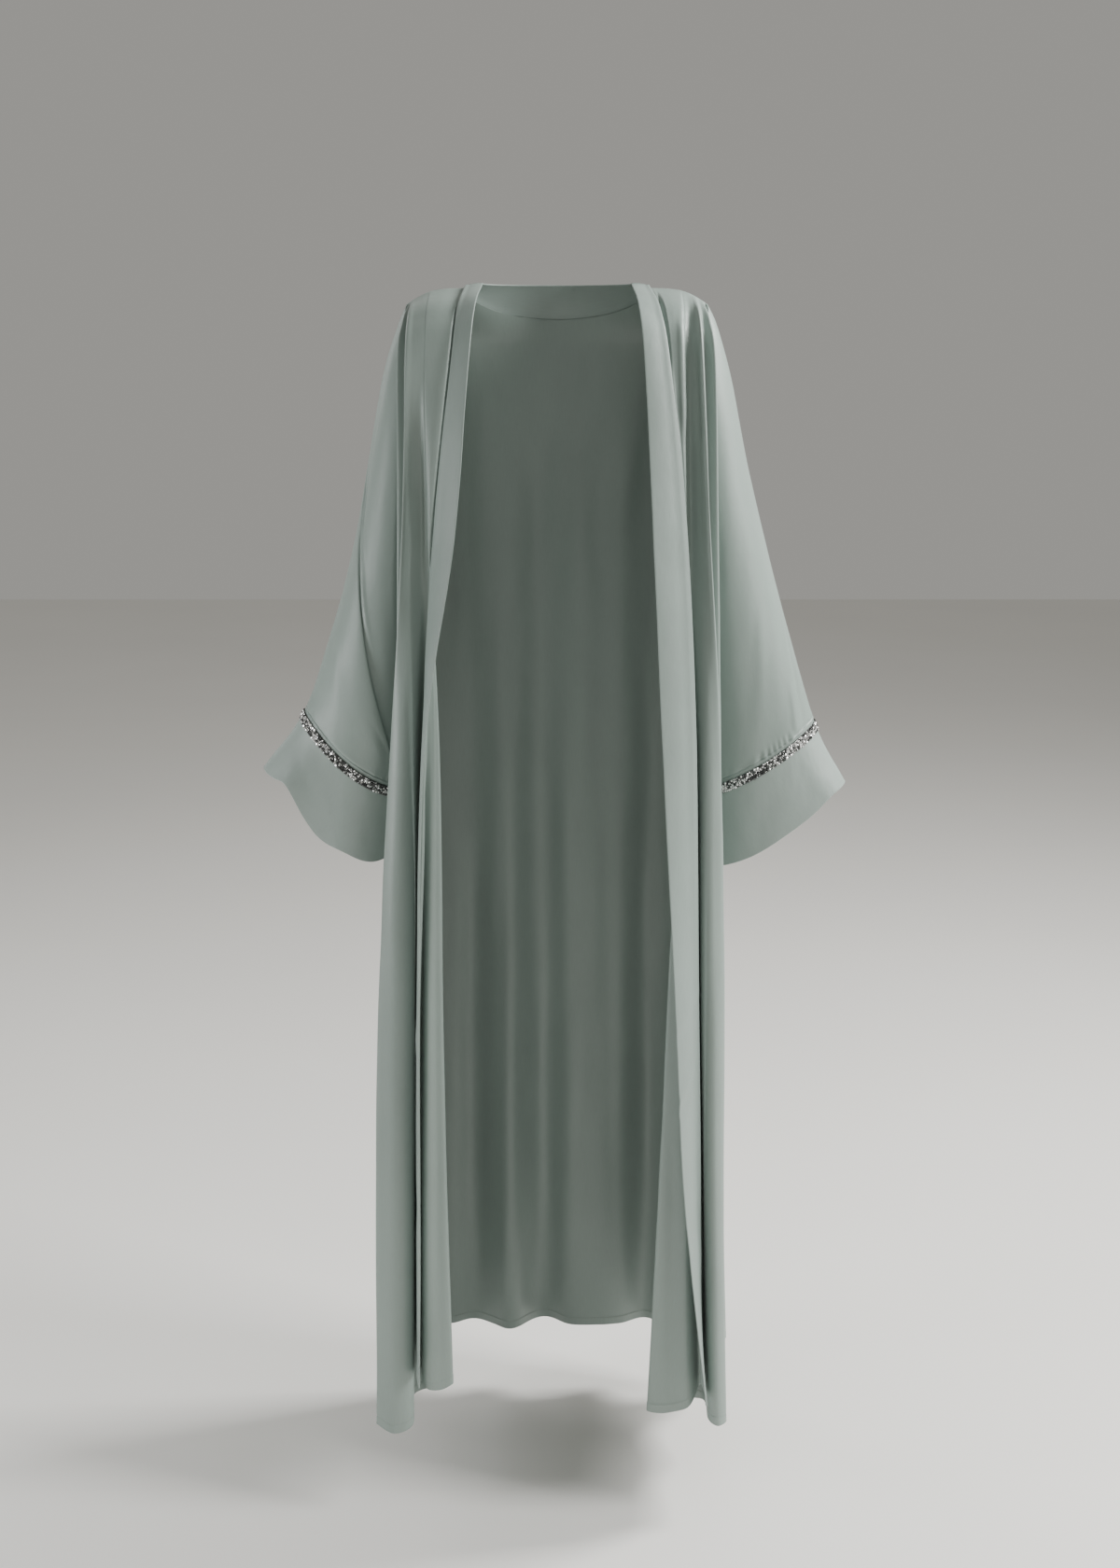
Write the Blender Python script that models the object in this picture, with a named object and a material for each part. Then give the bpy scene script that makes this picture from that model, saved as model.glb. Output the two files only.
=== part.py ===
"""Abaya cloak worn open over a general figure, with wide sleeves, plain cuffs and a front band.

Metres, +Z up. The wearer faces -Y and the wearer's left is +X. The origin lies midway between
the shoulders, at the height of the neck end of the shoulder seams. Tables are in millimetres:
x is measured outward from the middle of the body, y is negative in front and z is the height.
Every piece of cloth is a thin closed wall round a middle surface.
"""

import math
from collections import namedtuple

import bmesh
import bpy
from mathutils import Vector

MM = 0.001
PANEL_WALL = 1.2 * MM
BAND_WALL = 1.6 * MM
TRIM_WALL = 2.0 * MM
SEAM_GAP = 0.3 * MM
SHOULDER_GAP = 0.6 * MM
BAND_STANDOFF = 2.0 * MM
TRIM_WIDTH = 11 * MM
TRIM_STANDOFF = 1.0 * MM
SLEEVE_START = 1.6 * MM

NECK_SEAM_X = 112 * MM
NECK_SEAM_Z = -3 * MM
NECK_EDGE_X = 91 * MM
SHOULDER_TIP_X = 184 * MM
SHOULDER_TIP_Z = -23 * MM
UNDERARM_X = 171 * MM
UNDERARM_Z = -345 * MM
ARMHOLE_FRONT = 50 * MM
ARMHOLE_BACK = 60 * MM
SHOULDER_CROWN = 7.5 * MM
SHOULDER_CROWN_SKEW = 1.25
SHOULDER_ROUNDING = 0.24
FOLD_ROUNDING = 0.2
FOLD_ROUNDING_LEAST = 4
FOLD_ROUNDING_MOST = 7
FOLD_ROUNDING_TOP = 1.5
FOLD_TOP_Z = -200
FRONT_TUCK_Y = -57

BACK_NECK_SEAM = Vector((0, 92 * MM, -40 * MM))
BACK_NECK_EDGE = Vector((0, 60 * MM, 1 * MM))

FABRIC = (0.27, 0.33, 0.295, 1)
BAND_FABRIC = (0.29, 0.35, 0.325, 1)
CUFF_FABRIC = (0.33, 0.39, 0.35, 1)
STONES = (0.62, 0.63, 0.62, 1)

# One row for each height of a front. From the centre outward the cloth runs: the band's free
# edge, the seam under the band, a cleft, the face of an inner fold, that fold's turn, its rear
# layer, the inner edge of the outer panel, its outer turn, a second turn and a tuck to the side.
Row = namedtuple(
    "Row",
    "z free_x free_y seam_x seam_y cleft_y face_x turn_x turn_y rear_x rear_y"
    " inner_x inner_y panel_y outer_x outer_y second_x tuck_x",
)
RIGHT_FRONT = (
    Row(-100, 104, -118, 125, -104, -103, 132, 155, -99, 158, -94, 163, -92, -95, 180, -99, 191, 181),
    Row(-300, 120, -150, 146, -121, -119, 150, 154, -114, 157, -103, 161, -101, -111, 184, -118, 190, 168),
    Row(-550, 156, -168, 161, -126, -120, 151, 142, -115, 163, -98, 170, -119, -126, 200, -117, 195, 160),
    Row(-850, 165, -164, 169, -122, -101, 159, 140, -110, 175, -86, 174, -125, -134, 217, -122, 207, 172),
    Row(-1100, 168, -163, 172, -121, -101, 163, 137, -109, 179, -84, 177, -128, -137, 223, -125, 213, 188),
    Row(-1390, 169, -161, 174, -119, -101, 165, 131, -108, 183, -84, 180, -131, -140, 225, -128, 216, 196),
)
LEFT_FRONT = (
    Row(-100, 103, -118, 133, -108, -107, 137, 149, -102, 152, -93, 158, -90, -95, 173, -103, 189, 183),
    Row(-300, 113, -142, 153, -124, -122, 154, 153, -113, 156, -104, 161, -101, -109, 182, -118, 192, 172),
    Row(-550, 125, -148, 165, -127, -124, 156, 149, -116, 166, -101, 172, -117, -123, 196, -119, 196, 160),
    Row(-850, 141, -158, 171, -128, -112, 156, 136, -114, 175, -96, 176, -121, -130, 204, -118, 200, 172),
    Row(-1100, 154, -160, 176, -124, -108, 160, 127, -114, 180, -92, 182, -123, -132, 205, -120, 198, 184),
    Row(-1390, 184, -152, 182, -112, -100, 164, 113, -110, 185, -86, 189, -127, -136, 211, -124, 203, 196),
)

# One row for each fold line of a front: its share of the shoulder seam from the neck end and how
# far its hem is from the table's lowest height, on each side, and the faces from the line before.
FoldLine = namedtuple("FoldLine", "name right_top left_top right_hem left_hem faces")
FRONT_FOLDS = (
    FoldLine("seam", 0, 0, 52, 24, 0),
    FoldLine("cleft", 0.06, 0.07, 38, 12, 2),
    FoldLine("face", 0.13, 0.16, 20, -6, 2),
    FoldLine("face middle", 0.35, 0.34, 16, -13, 1),
    FoldLine("turn", 0.58, 0.52, 22, -13, 2),
    FoldLine("rear", 0.62, 0.56, 6, -12, 2),
    FoldLine("rear end", 0.66, 0.6, -8, -12, 2),
    FoldLine("inner edge", 0.71, 0.66, -19, -15, 3),
    FoldLine("panel", 0.82, 0.72, -26, -19, 3),
    FoldLine("outer turn", 0.91, 0.78, -21, -20, 3),
    FoldLine("dip", 0.935, 0.85, -28, -26, 2),
    FoldLine("second turn", 0.96, 0.92, -33, -30, 2),
    FoldLine("tuck", 0.98, 0.96, -38, -36, 3),
    FoldLine("side", 1, 1, -40, -40, 3),
)

Front = namedtuple("Front", "rows tops hems")
FRONTS = {
    "left": Front(
        LEFT_FRONT,
        [line.left_top for line in FRONT_FOLDS],
        [line.left_hem for line in FRONT_FOLDS],
    ),
    "right": Front(
        RIGHT_FRONT,
        [line.right_top for line in FRONT_FOLDS],
        [line.right_hem for line in FRONT_FOLDS],
    ),
}
BAND_HEM = -6

# The back is shared by both sides; its soft folds deepen towards the hem.
BackRow = namedtuple("BackRow", "z outer_x outer_y tuck_x tuck_y centre_y fold_depth")
BACK = (
    BackRow(-100, 185, 82, 180, 61, 96, 0),
    BackRow(-300, 191, 92, 168, 63, 120, 3),
    BackRow(-550, 199, 96, 160, 52, 124, 6),
    BackRow(-850, 212, 106, 172, 54, 136, 10),
    BackRow(-1100, 222, 114, 186, 58, 148, 14),
    BackRow(-1390, 231, 122, 196, 61, 162, 18),
)
BACK_HEM_DROP = -40
BACK_WAVE = 124 * MM
BACK_SHORT_WAVE = 79 * MM

# Half of the body at the side seam, below the underarm.
SideRow = namedtuple("SideRow", "z x")
SIDE = (
    SideRow(-345, 171),
    SideRow(-550, 165),
    SideRow(-700, 167),
    SideRow(-850, 182),
    SideRow(-1100, 200),
    SideRow(-1430, 212),
)

# Rows of faces down a panel, as steps between the heights of its table: 0 is the shoulder
# seam, 1 the top of the chest or back, 2 the table's first height, 3 its second and so on.
PANEL_STEPS = (
    0, 0.5, 1, 1.5, 2, 2.35, 2.7, 3, 3.1, 3.2, 3.5, 3.8, 4.15, 4.55, 5, 5.5, 6, 6.5, 7,
)

# One row for each ring of a sleeve: the top fold of the sleeve, its underside, how far it
# stands forward and back, how far it sags below a straight line between the two, and how much
# nearer the underside it sags most. The last row is the cuff's edge, the one before its seam.
SleeveRow = namedtuple("SleeveRow", "outer_x outer_z under_x under_z front back sag skew")
RIGHT_SLEEVE = (
    SleeveRow(184, -23, 171, -345, 50, 60, 0, 1),
    SleeveRow(197, -55, 177, -385, 52, 62, 0, 1),
    SleeveRow(214, -112, 180, -430, 54, 62, 0, 1),
    SleeveRow(234, -222, 182, -490, 56, 60, 0, 1),
    SleeveRow(256, -330, 184, -545, 56, 57, 0, 1),
    SleeveRow(286, -440, 187, -592, 52, 53, 5, 1),
    SleeveRow(320, -533, 190, -634, 47, 48, 15, 1),
    SleeveRow(371, -602, 203, -706, 46, 47, 33, 2),
)
LEFT_SLEEVE = (
    SleeveRow(184, -23, 171, -345, 50, 60, 0, 1),
    SleeveRow(197, -52, 177, -385, 52, 62, 0, 1),
    SleeveRow(216, -118, 180, -430, 54, 62, 0, 1),
    SleeveRow(236, -222, 182, -490, 56, 60, 0, 1),
    SleeveRow(263, -332, 184, -550, 56, 57, 0, 1),
    SleeveRow(293, -440, 187, -598, 52, 53, 0, 1),
    SleeveRow(325, -547, 189, -631, 47, 48, 4, 1),
    SleeveRow(364, -621, 192, -728, 46, 47, 12, 1.3),
)
SLEEVE_STEPS = (0, 0.35, 1, 1.6, 2.3, 3, 3.5, 4, 4.35, 4.7, 5.1, 5.6, 6)
CUFF_SEAM = 6
CUFF_STEPS = (6, 6.3, 6.65, 7)
SLEEVE_SIDES = 30

# One long fold twists down the right sleeve: where its edge lies from the top fold (0) to the
# underside (1), at each ring, and how far the cloth below the edge stands in front of the cloth
# above it, or behind it where negative. The same share of a ring's faces lies above that edge.
SleeveFold = namedtuple("SleeveFold", "place height")
RIGHT_SLEEVE_FOLD = (
    SleeveFold(0.10, 0),
    SleeveFold(0.09, 0),
    SleeveFold(0.08, 3),
    SleeveFold(0.07, 9),
    SleeveFold(0.20, -4),
    SleeveFold(0.76, -8),
    SleeveFold(0.84, -2),
    SleeveFold(0.86, 0),
)
LEFT_SLEEVE_FOLD = tuple(SleeveFold(0.35, 0) for row in LEFT_SLEEVE)
FACES_ABOVE_FOLD = 0.2
FOLD_SPAN = 0.1
FOLD_OVERLAP = 0.04

# Waves in the edge of a cuff: where each lies from the top fold (0) to the underside (1), how
# far it reaches and how much it lifts the edge.
CuffWave = namedtuple("CuffWave", "place reach rise")
RIGHT_CUFF_WAVES = (CuffWave(0.14, 0.09, 11), CuffWave(0.42, 0.17, -11))
LEFT_CUFF_WAVES = (CuffWave(0.12, 0.10, 4), CuffWave(0.48, 0.20, -4))

Sleeve = namedtuple("Sleeve", "rows folds waves")
SLEEVES = {
    "left": Sleeve(LEFT_SLEEVE, LEFT_SLEEVE_FOLD, LEFT_CUFF_WAVES),
    "right": Sleeve(RIGHT_SLEEVE, RIGHT_SLEEVE_FOLD, RIGHT_CUFF_WAVES),
}


def clear_scene():
    for item in list(bpy.data.objects):
        bpy.data.objects.remove(item, do_unlink=True)


def fabric(name, colour, roughness, metallic=0.0):
    material = bpy.data.materials.new(name)
    material.use_nodes = True
    shader = material.node_tree.nodes["Principled BSDF"]
    shader.inputs["Base Color"].default_value = colour
    shader.inputs["Roughness"].default_value = roughness
    shader.inputs["Metallic"].default_value = metallic
    return material


def spline(values, place):
    """The value at a place along a list, on a smooth curve through its entries."""
    last = len(values) - 1
    first = min(int(place), last - 1)
    t = place - first
    before = values[max(first - 1, 0)]
    start = values[first]
    end = values[first + 1]
    after = values[min(first + 2, last)]
    leave = (end - before) * 0.5
    arrive = (after - start) * 0.5
    if first == 0:
        leave = end - start
    if first == last - 1:
        arrive = end - start
    cubic = 2 * t**3 - 3 * t**2
    return (
        start * (cubic + 1)
        + leave * (t**3 - 2 * t**2 + t)
        - end * cubic
        + arrive * (t**3 - t**2)
    )


def lerp(start, end, share):
    return start + (end - start) * share


def table_place(heights, z):
    """How far down a falling list of heights z lies, as a fractional index."""
    for index in range(len(heights) - 1):
        if z >= heights[index + 1]:
            return index + (heights[index] - z) / (heights[index] - heights[index + 1])
    return len(heights) - 1


def side_x(z):
    heights = [row.z * MM for row in SIDE]
    place = max(0, table_place(heights, min(z, heights[0])))
    return spline([row.x * MM for row in SIDE], place)


def body_edge(z, depth):
    """The edge of a panel at height z: round the armhole, then down the side seam."""
    if z <= UNDERARM_Z:
        return Vector((side_x(z), math.copysign(SEAM_GAP, depth), z))
    share = min(1.0, max(0.0, (SHOULDER_TIP_Z - z) / (SHOULDER_TIP_Z - UNDERARM_Z)))
    x = lerp(SHOULDER_TIP_X, UNDERARM_X, share)
    y = depth * 2 * math.sqrt(share * (1 - share))
    if abs(y) < SHOULDER_GAP:
        y = math.copysign(SHOULDER_GAP, depth)
    return Vector((x, y, z))


def shoulder_point(share, side):
    """A point of the shoulder seam, from its neck end to its tip; side is -1 in front."""
    x = lerp(NECK_SEAM_X, SHOULDER_TIP_X, share)
    crown = SHOULDER_CROWN * math.sin(math.pi * share**SHOULDER_CROWN_SKEW)
    z = lerp(NECK_SEAM_Z, SHOULDER_TIP_Z, share) + crown
    return Vector((x, side * SHOULDER_GAP, z))


def shoulder_round(top, chest):
    """A point between the shoulder seam and the chest or back, lifted to round the shoulder."""
    chord = chest - top
    flip = 1 if chord.y > 0 else -1
    lift = Vector((0, -flip * chord.z, abs(chord.y))).normalized()
    return top + chord * 0.5 + lift * abs(chord.y) * SHOULDER_ROUNDING


def front_points(row):
    """The fold points of a front at one height, in the order of FRONT_FOLDS but the side."""
    bulge = FOLD_ROUNDING * (row.rear_x - row.turn_x)
    least = FOLD_ROUNDING_TOP if row.z > FOLD_TOP_Z else FOLD_ROUNDING_LEAST
    bulge = min(FOLD_ROUNDING_MOST, max(least, bulge))
    gap = max(0, row.second_x - row.outer_x)
    return (
        (row.seam_x, row.seam_y),
        (lerp(row.seam_x, row.face_x, 0.25), row.cleft_y),
        (row.face_x, row.turn_y - bulge),
        (lerp(row.face_x, row.turn_x, 0.55), row.turn_y - 0.8 * bulge),
        (row.turn_x, row.turn_y),
        (lerp(row.turn_x, row.rear_x, 0.45), lerp(row.turn_y, row.rear_y, 0.85)),
        (row.rear_x, row.rear_y),
        (row.inner_x, row.inner_y),
        (lerp(row.inner_x, row.outer_x, 0.5), row.panel_y),
        (row.outer_x, row.outer_y),
        (lerp(row.outer_x, row.second_x, 0.5) - 5, row.outer_y + 11 + 0.6 * gap),
        (row.second_x, row.outer_y + 21 - 0.4 * gap),
        (row.tuck_x, FRONT_TUCK_Y),
    )


def fold_path(index, front):
    """One fold line of a front, as points from the shoulder seam to the hem."""
    path = []
    for row in front.rows:
        x, y = front_points(row)[index]
        path.append(Vector((x, y, row.z)) * MM)
    path[-1].z += front.hems[index] * MM
    top = shoulder_point(front.tops[index], -1)
    return [top, shoulder_round(top, path[0])] + path


def front_edge_path(front):
    """The heights down the side edge of a front: the armhole, then the side seam."""
    path = [row.z * MM for row in front.rows]
    path[-1] += front.hems[-1] * MM
    return [SHOULDER_TIP_Z, lerp(SHOULDER_TIP_Z, path[0], 0.4)] + path


def curve_through(points, faces):
    """Points along a smooth curve through the given ones, with so many faces before each."""
    places = [0.0]
    for index in range(1, len(points)):
        for step in range(1, faces[index] + 1):
            places.append(index - 1 + step / faces[index])
    return [spline(points, place) for place in places]


def front_grid(front):
    """The middle surface of a front, as rows of points from the shoulder to the hem."""
    lines = [fold_path(index, front) for index in range(len(FRONT_FOLDS) - 1)]
    edge_heights = front_edge_path(front)
    faces = [line.faces for line in FRONT_FOLDS]
    grid = []
    for step in PANEL_STEPS:
        section = [spline(line, step) for line in lines]
        section.append(body_edge(spline(edge_heights, step), -ARMHOLE_FRONT))
        grid.append(curve_through(section, faces))
    return grid


def back_wave(x):
    """The uneven soft folds across the back, about one high."""
    long_wave = math.cos(2 * math.pi * x / BACK_WAVE + 0.5)
    return 0.7 * long_wave + 0.35 * math.cos(2 * math.pi * x / BACK_SHORT_WAVE + 2.1)


BACK_TOP_SHARES = (0.0, 0.17, 0.34, 0.5, 0.68, 0.8, 0.9, 1.0)
BACK_FACES = (0, 5, 5, 4, 3, 2, 2, 3)


def back_points(row):
    """The section of half the back at one height, from the centre but without its side edge."""
    return (
        (0, row.centre_y),
        (0.3 * row.outer_x, row.centre_y),
        (0.6 * row.outer_x, row.centre_y - 3),
        (0.84 * row.outer_x, lerp(row.outer_y, row.centre_y, 0.72)),
        (row.outer_x, row.outer_y),
        (row.outer_x - 9, row.outer_y - 15),
        (row.tuck_x, row.tuck_y),
    )


def back_top(share):
    """The top edge of half the back: round the neck seam, then along the shoulder seam."""
    neck = BACK_TOP_SHARES[3]
    if share >= neck:
        return shoulder_point((share - neck) / (1 - neck), 1)
    angle = math.pi / 2 * share / neck
    end = shoulder_point(0, 1)
    return Vector(
        (
            end.x * math.sin(angle),
            lerp(end.y, BACK_NECK_SEAM.y, math.cos(angle)),
            lerp(end.z, BACK_NECK_SEAM.z, math.cos(angle)),
        )
    )


def back_half_grid(side):
    """The middle surface of half the back, from its centre to its edge; side is -1 or 1."""
    lines = []
    for index, share in enumerate(BACK_TOP_SHARES[:-1]):
        path = []
        for row in BACK:
            x, y = back_points(row)[index]
            path.append(Vector((x, y, row.z)) * MM)
        path[-1].z += BACK_HEM_DROP * MM
        top = back_top(share)
        lines.append([top, shoulder_round(top, path[0])] + path)
    heights = [point.z for point in lines[0]]
    heights[0] = SHOULDER_TIP_Z
    heights[1] = lerp(SHOULDER_TIP_Z, heights[2], 0.4)
    depths = [0, 0] + [row.fold_depth * MM for row in BACK]
    grid = []
    for step in PANEL_STEPS:
        section = [spline(line, step) for line in lines]
        section.append(body_edge(spline(heights, step), ARMHOLE_BACK))
        if step == 0:
            points = [back_top(share) for share in curve_through(BACK_TOP_SHARES, BACK_FACES)]
        else:
            points = curve_through(section, BACK_FACES)
        calm = len(points) - 6
        for index, point in enumerate(points[:calm]):
            fade = min(1.0, (calm - index) / 4)
            point.y += spline(depths, step) * fade * back_wave(side * point.x)
            point.x *= side
        for point in points[calm:]:
            point.x *= side
        grid.append(points)
    return grid


def back_grid():
    left = back_half_grid(1)
    right = back_half_grid(-1)
    return [list(reversed(far[1:])) + near for near, far in zip(left, right)]


def band_grid(front):
    """The middle surface of a front band, from its seam edge to its free edge."""
    seam = fold_path(0, front)
    free = [Vector((NECK_EDGE_X, -SHOULDER_GAP, 0))]
    for row in front.rows:
        free.append(Vector((row.free_x, row.free_y, row.z)) * MM)
    free[-1].z += (front.hems[0] + BAND_HEM) * MM
    free.insert(1, shoulder_round(free[0], free[1]))
    grid = []
    for step in PANEL_STEPS:
        forward = Vector((0, -1, max(0.0, 1.5 - step))).normalized()
        start = spline(seam, step) + forward * BAND_STANDOFF
        end = spline(free, step) + forward * BAND_STANDOFF
        across = end - start
        outward = Vector((-across.y, across.x, 0)).normalized()
        if step < 1:
            outward = outward.lerp(Vector((0, 0, 1)), 1 - step).normalized()
        middle = (start + end) * 0.5 + outward * across.length * 0.06
        grid.append([start, start.lerp(middle, 0.5) + outward * across.length * 0.015, middle, end])
    return grid


def neck_band_grid(faces=14):
    """The middle surface of the band round the back of the neck, from shoulder to shoulder."""
    grid = []
    seam_end = shoulder_point(0, 1)
    for index in range(faces + 1):
        angle = math.pi * (index / faces - 0.5)
        back = math.cos(angle)
        seam = Vector(
            (
                seam_end.x * math.sin(angle),
                lerp(seam_end.y, BACK_NECK_SEAM.y, back),
                lerp(seam_end.z, BACK_NECK_SEAM.z, back),
            )
        )
        edge = Vector(
            (
                NECK_EDGE_X * math.sin(angle),
                lerp(seam_end.y, BACK_NECK_EDGE.y, back),
                lerp(0, BACK_NECK_EDGE.z, back),
            )
        )
        across = edge - seam
        along = Vector((math.cos(angle), -math.sin(angle), 0))
        outward = across.cross(along).normalized()
        outward *= math.copysign(1, outward.z)
        seam += outward * BAND_STANDOFF
        edge += outward * BAND_STANDOFF
        middle = (seam + edge) * 0.5 + outward * across.length * 0.06
        grid.append([seam, seam.lerp(middle, 0.5) + outward * across.length * 0.015, middle, edge])
    return grid


def fold_turn(share, place):
    """The share of a full turn, from the top fold round the front, at a share of the faces."""
    at = math.acos(1 - 2 * place) / (2 * math.pi)
    if share <= FACES_ABOVE_FOLD:
        return at * share / FACES_ABOVE_FOLD
    if share <= 0.5:
        return lerp(at, 0.5, (share - FACES_ABOVE_FOLD) / (0.5 - FACES_ABOVE_FOLD))
    return share


def ring_point(sleeve, step, share):
    """A point of a sleeve: step runs down the rings and share once round from the top fold."""
    rows = sleeve.rows
    place = spline([fold.place for fold in sleeve.folds], step)
    height = spline([fold.height for fold in sleeve.folds], step)
    span = max(-1.0, min(1.0, (share - FACES_ABOVE_FOLD) / FOLD_SPAN))
    overlap = FOLD_OVERLAP * min(1.0, abs(height) / 10) * math.sin(math.pi * span)
    angle = 2 * math.pi * fold_turn(share - overlap, place)
    across = (1 - math.cos(angle)) / 2
    outer = Vector((spline([row.outer_x for row in rows], step), 0, 0))
    outer.z = spline([row.outer_z for row in rows], step)
    under = Vector((spline([row.under_x for row in rows], step), 0, 0))
    under.z = spline([row.under_z for row in rows], step)
    point = outer.lerp(under, across)
    skew = spline([row.skew for row in rows], step)
    edge = max(0.0, step - CUFF_SEAM) ** 2
    point.z -= spline([row.sag for row in rows], step) * math.sin(math.pi * across**skew)
    if share <= 0.5:
        depth = spline([row.front for row in rows], step)
        rise = (span + 1) / 2
        point.y = -(depth - height * (1 - rise**2 * (3 - 2 * rise))) * math.sin(angle)
    else:
        point.y = -spline([row.back for row in rows], step) * math.sin(angle)
    for wave in sleeve.waves:
        point.z += wave.rise * math.exp(-(((across - wave.place) / wave.reach) ** 2)) * edge
    return point * MM


def ring(sleeve, step):
    """One whole ring of a sleeve, as points from its top fold round the front."""
    return [ring_point(sleeve, step, side / SLEEVE_SIDES) for side in range(SLEEVE_SIDES)]


def sleeve_grid(sleeve):
    """The middle surface of a sleeve, started clear of the armhole."""
    grid = [ring(sleeve, step) for step in SLEEVE_STEPS]
    for point in grid[0]:
        point.x += SLEEVE_START
    return grid


def cuff_grid(sleeve):
    """The middle surface of a cuff, started clear of the end of its sleeve."""
    grid = [ring(sleeve, step) for step in CUFF_STEPS]
    for point, below in zip(grid[0], grid[1]):
        point += (below - point).normalized() * SEAM_GAP
    return grid


def trim_grid(sleeve):
    """A strip round the cuff seam, on the outside of the sleeve and cuff."""
    length = (sleeve.rows[CUFF_SEAM + 1].outer_z - sleeve.rows[CUFF_SEAM].outer_z) * MM
    half = abs(TRIM_WIDTH / 2 / length)
    grid = []
    for step in (CUFF_SEAM - half * 0.6, CUFF_SEAM, CUFF_SEAM + half):
        grid.append(ring(sleeve, step))
    normals = grid_normals(grid, True)
    centre = sum(grid[1], Vector()) / SLEEVE_SIDES
    away = PANEL_WALL / 2 + TRIM_WALL / 2 + TRIM_STANDOFF
    moved = []
    for points, directions in zip(grid, normals):
        line = []
        for point, normal in zip(points, directions):
            out = point - centre
            line.append(point + normal * math.copysign(away, normal.dot(out)))
        moved.append(line)
    return moved


def mirrored(grid, side):
    return [[Vector((point.x * side, point.y, point.z)) for point in row] for row in grid]


def grid_normals(grid, closed):
    """The surface normal at each point of a grid."""
    rows = len(grid)
    columns = len(grid[0])
    normals = []
    for r in range(rows):
        line = []
        for c in range(columns):
            down = grid[min(r + 1, rows - 1)][c] - grid[max(r - 1, 0)][c]
            if closed:
                across = grid[r][(c + 1) % columns] - grid[r][c - 1]
            else:
                across = grid[r][min(c + 1, columns - 1)] - grid[r][max(c - 1, 0)]
            line.append(across.cross(down).normalized())
        normals.append(line)
    return normals


def cloth_wall(name, grid, thickness, material, closed=False):
    """A named object: the closed wall of this thickness round a grid of points."""
    mesh_data = bmesh.new()
    normals = grid_normals(grid, closed)
    sheets = []
    for sign in (1, -1):
        sheet = []
        for points, directions in zip(grid, normals):
            sheet.append(
                [mesh_data.verts.new(p + n * sign * thickness / 2) for p, n in zip(points, directions)]
            )
        sheets.append(sheet)
    front, rear = sheets
    rows = len(grid)
    columns = len(grid[0])
    spans = columns if closed else columns - 1
    for r in range(rows - 1):
        for c in range(spans):
            d = (c + 1) % columns
            mesh_data.faces.new((front[r][c], front[r + 1][c], front[r + 1][d], front[r][d]))
            mesh_data.faces.new((rear[r][c], rear[r][d], rear[r + 1][d], rear[r + 1][c]))
    for r in (0, rows - 1):
        for c in range(spans):
            d = (c + 1) % columns
            mesh_data.faces.new((front[r][c], front[r][d], rear[r][d], rear[r][c]))
    if not closed:
        for c in (0, columns - 1):
            for r in range(rows - 1):
                mesh_data.faces.new((front[r][c], front[r + 1][c], rear[r + 1][c], rear[r][c]))
    bmesh.ops.triangulate(mesh_data, faces=mesh_data.faces[:])
    bmesh.ops.recalc_face_normals(mesh_data, faces=mesh_data.faces[:])
    mesh = bpy.data.meshes.new(name)
    mesh_data.to_mesh(mesh)
    mesh_data.free()
    mesh.materials.append(material)
    mesh.shade_smooth()
    mesh.set_sharp_from_angle(angle=math.radians(50))
    piece = bpy.data.objects.new(name, mesh)
    bpy.context.scene.collection.objects.link(piece)
    return piece


def build_body(cloth, band_cloth):
    """The back, both fronts and the band round all the open edges."""
    cloth_wall("back", back_grid(), PANEL_WALL, cloth)
    cloth_wall("band_neck", neck_band_grid(), BAND_WALL, band_cloth)
    for name, side in (("left", 1), ("right", -1)):
        front = mirrored(front_grid(FRONTS[name]), side)
        band = mirrored(band_grid(FRONTS[name]), side)
        cloth_wall("front_" + name, front, PANEL_WALL, cloth)
        cloth_wall("band_" + name, band, BAND_WALL, band_cloth)


def build_sleeves(cloth, cuff_cloth, stones):
    """Both sleeves, their plain cuffs and the jewelled trim over each cuff seam."""
    for name, side in (("left", 1), ("right", -1)):
        sleeve = mirrored(sleeve_grid(SLEEVES[name]), side)
        cuff = mirrored(cuff_grid(SLEEVES[name]), side)
        trim = mirrored(trim_grid(SLEEVES[name]), side)
        cloth_wall("sleeve_" + name, sleeve, PANEL_WALL, cloth, closed=True)
        cloth_wall("cuff_" + name, cuff, PANEL_WALL, cuff_cloth, closed=True)
        cloth_wall("trim_" + name, trim, TRIM_WALL, stones, closed=True)


def main():
    clear_scene()
    cloth = fabric("sage_satin", FABRIC, 0.42)
    band_cloth = fabric("sage_band", BAND_FABRIC, 0.45)
    cuff_cloth = fabric("sage_cuff", CUFF_FABRIC, 0.45)
    stones = fabric("rhinestone_trim", STONES, 0.2, 0.7)
    build_body(cloth, band_cloth)
    build_sleeves(cloth, cuff_cloth, stones)


main()
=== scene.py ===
"""Visual model of an open-front abaya cloak: satin panels, band, sleeves, cuffs and stone trims.

Tables are in millimetres: x is measured outward from the middle of the body, y is negative in
front and z is the height above the origin between the shoulders. They match the solid part.
"""

import math
import random
from collections import namedtuple

import bpy
import numpy as np
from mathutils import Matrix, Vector, noise


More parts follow.
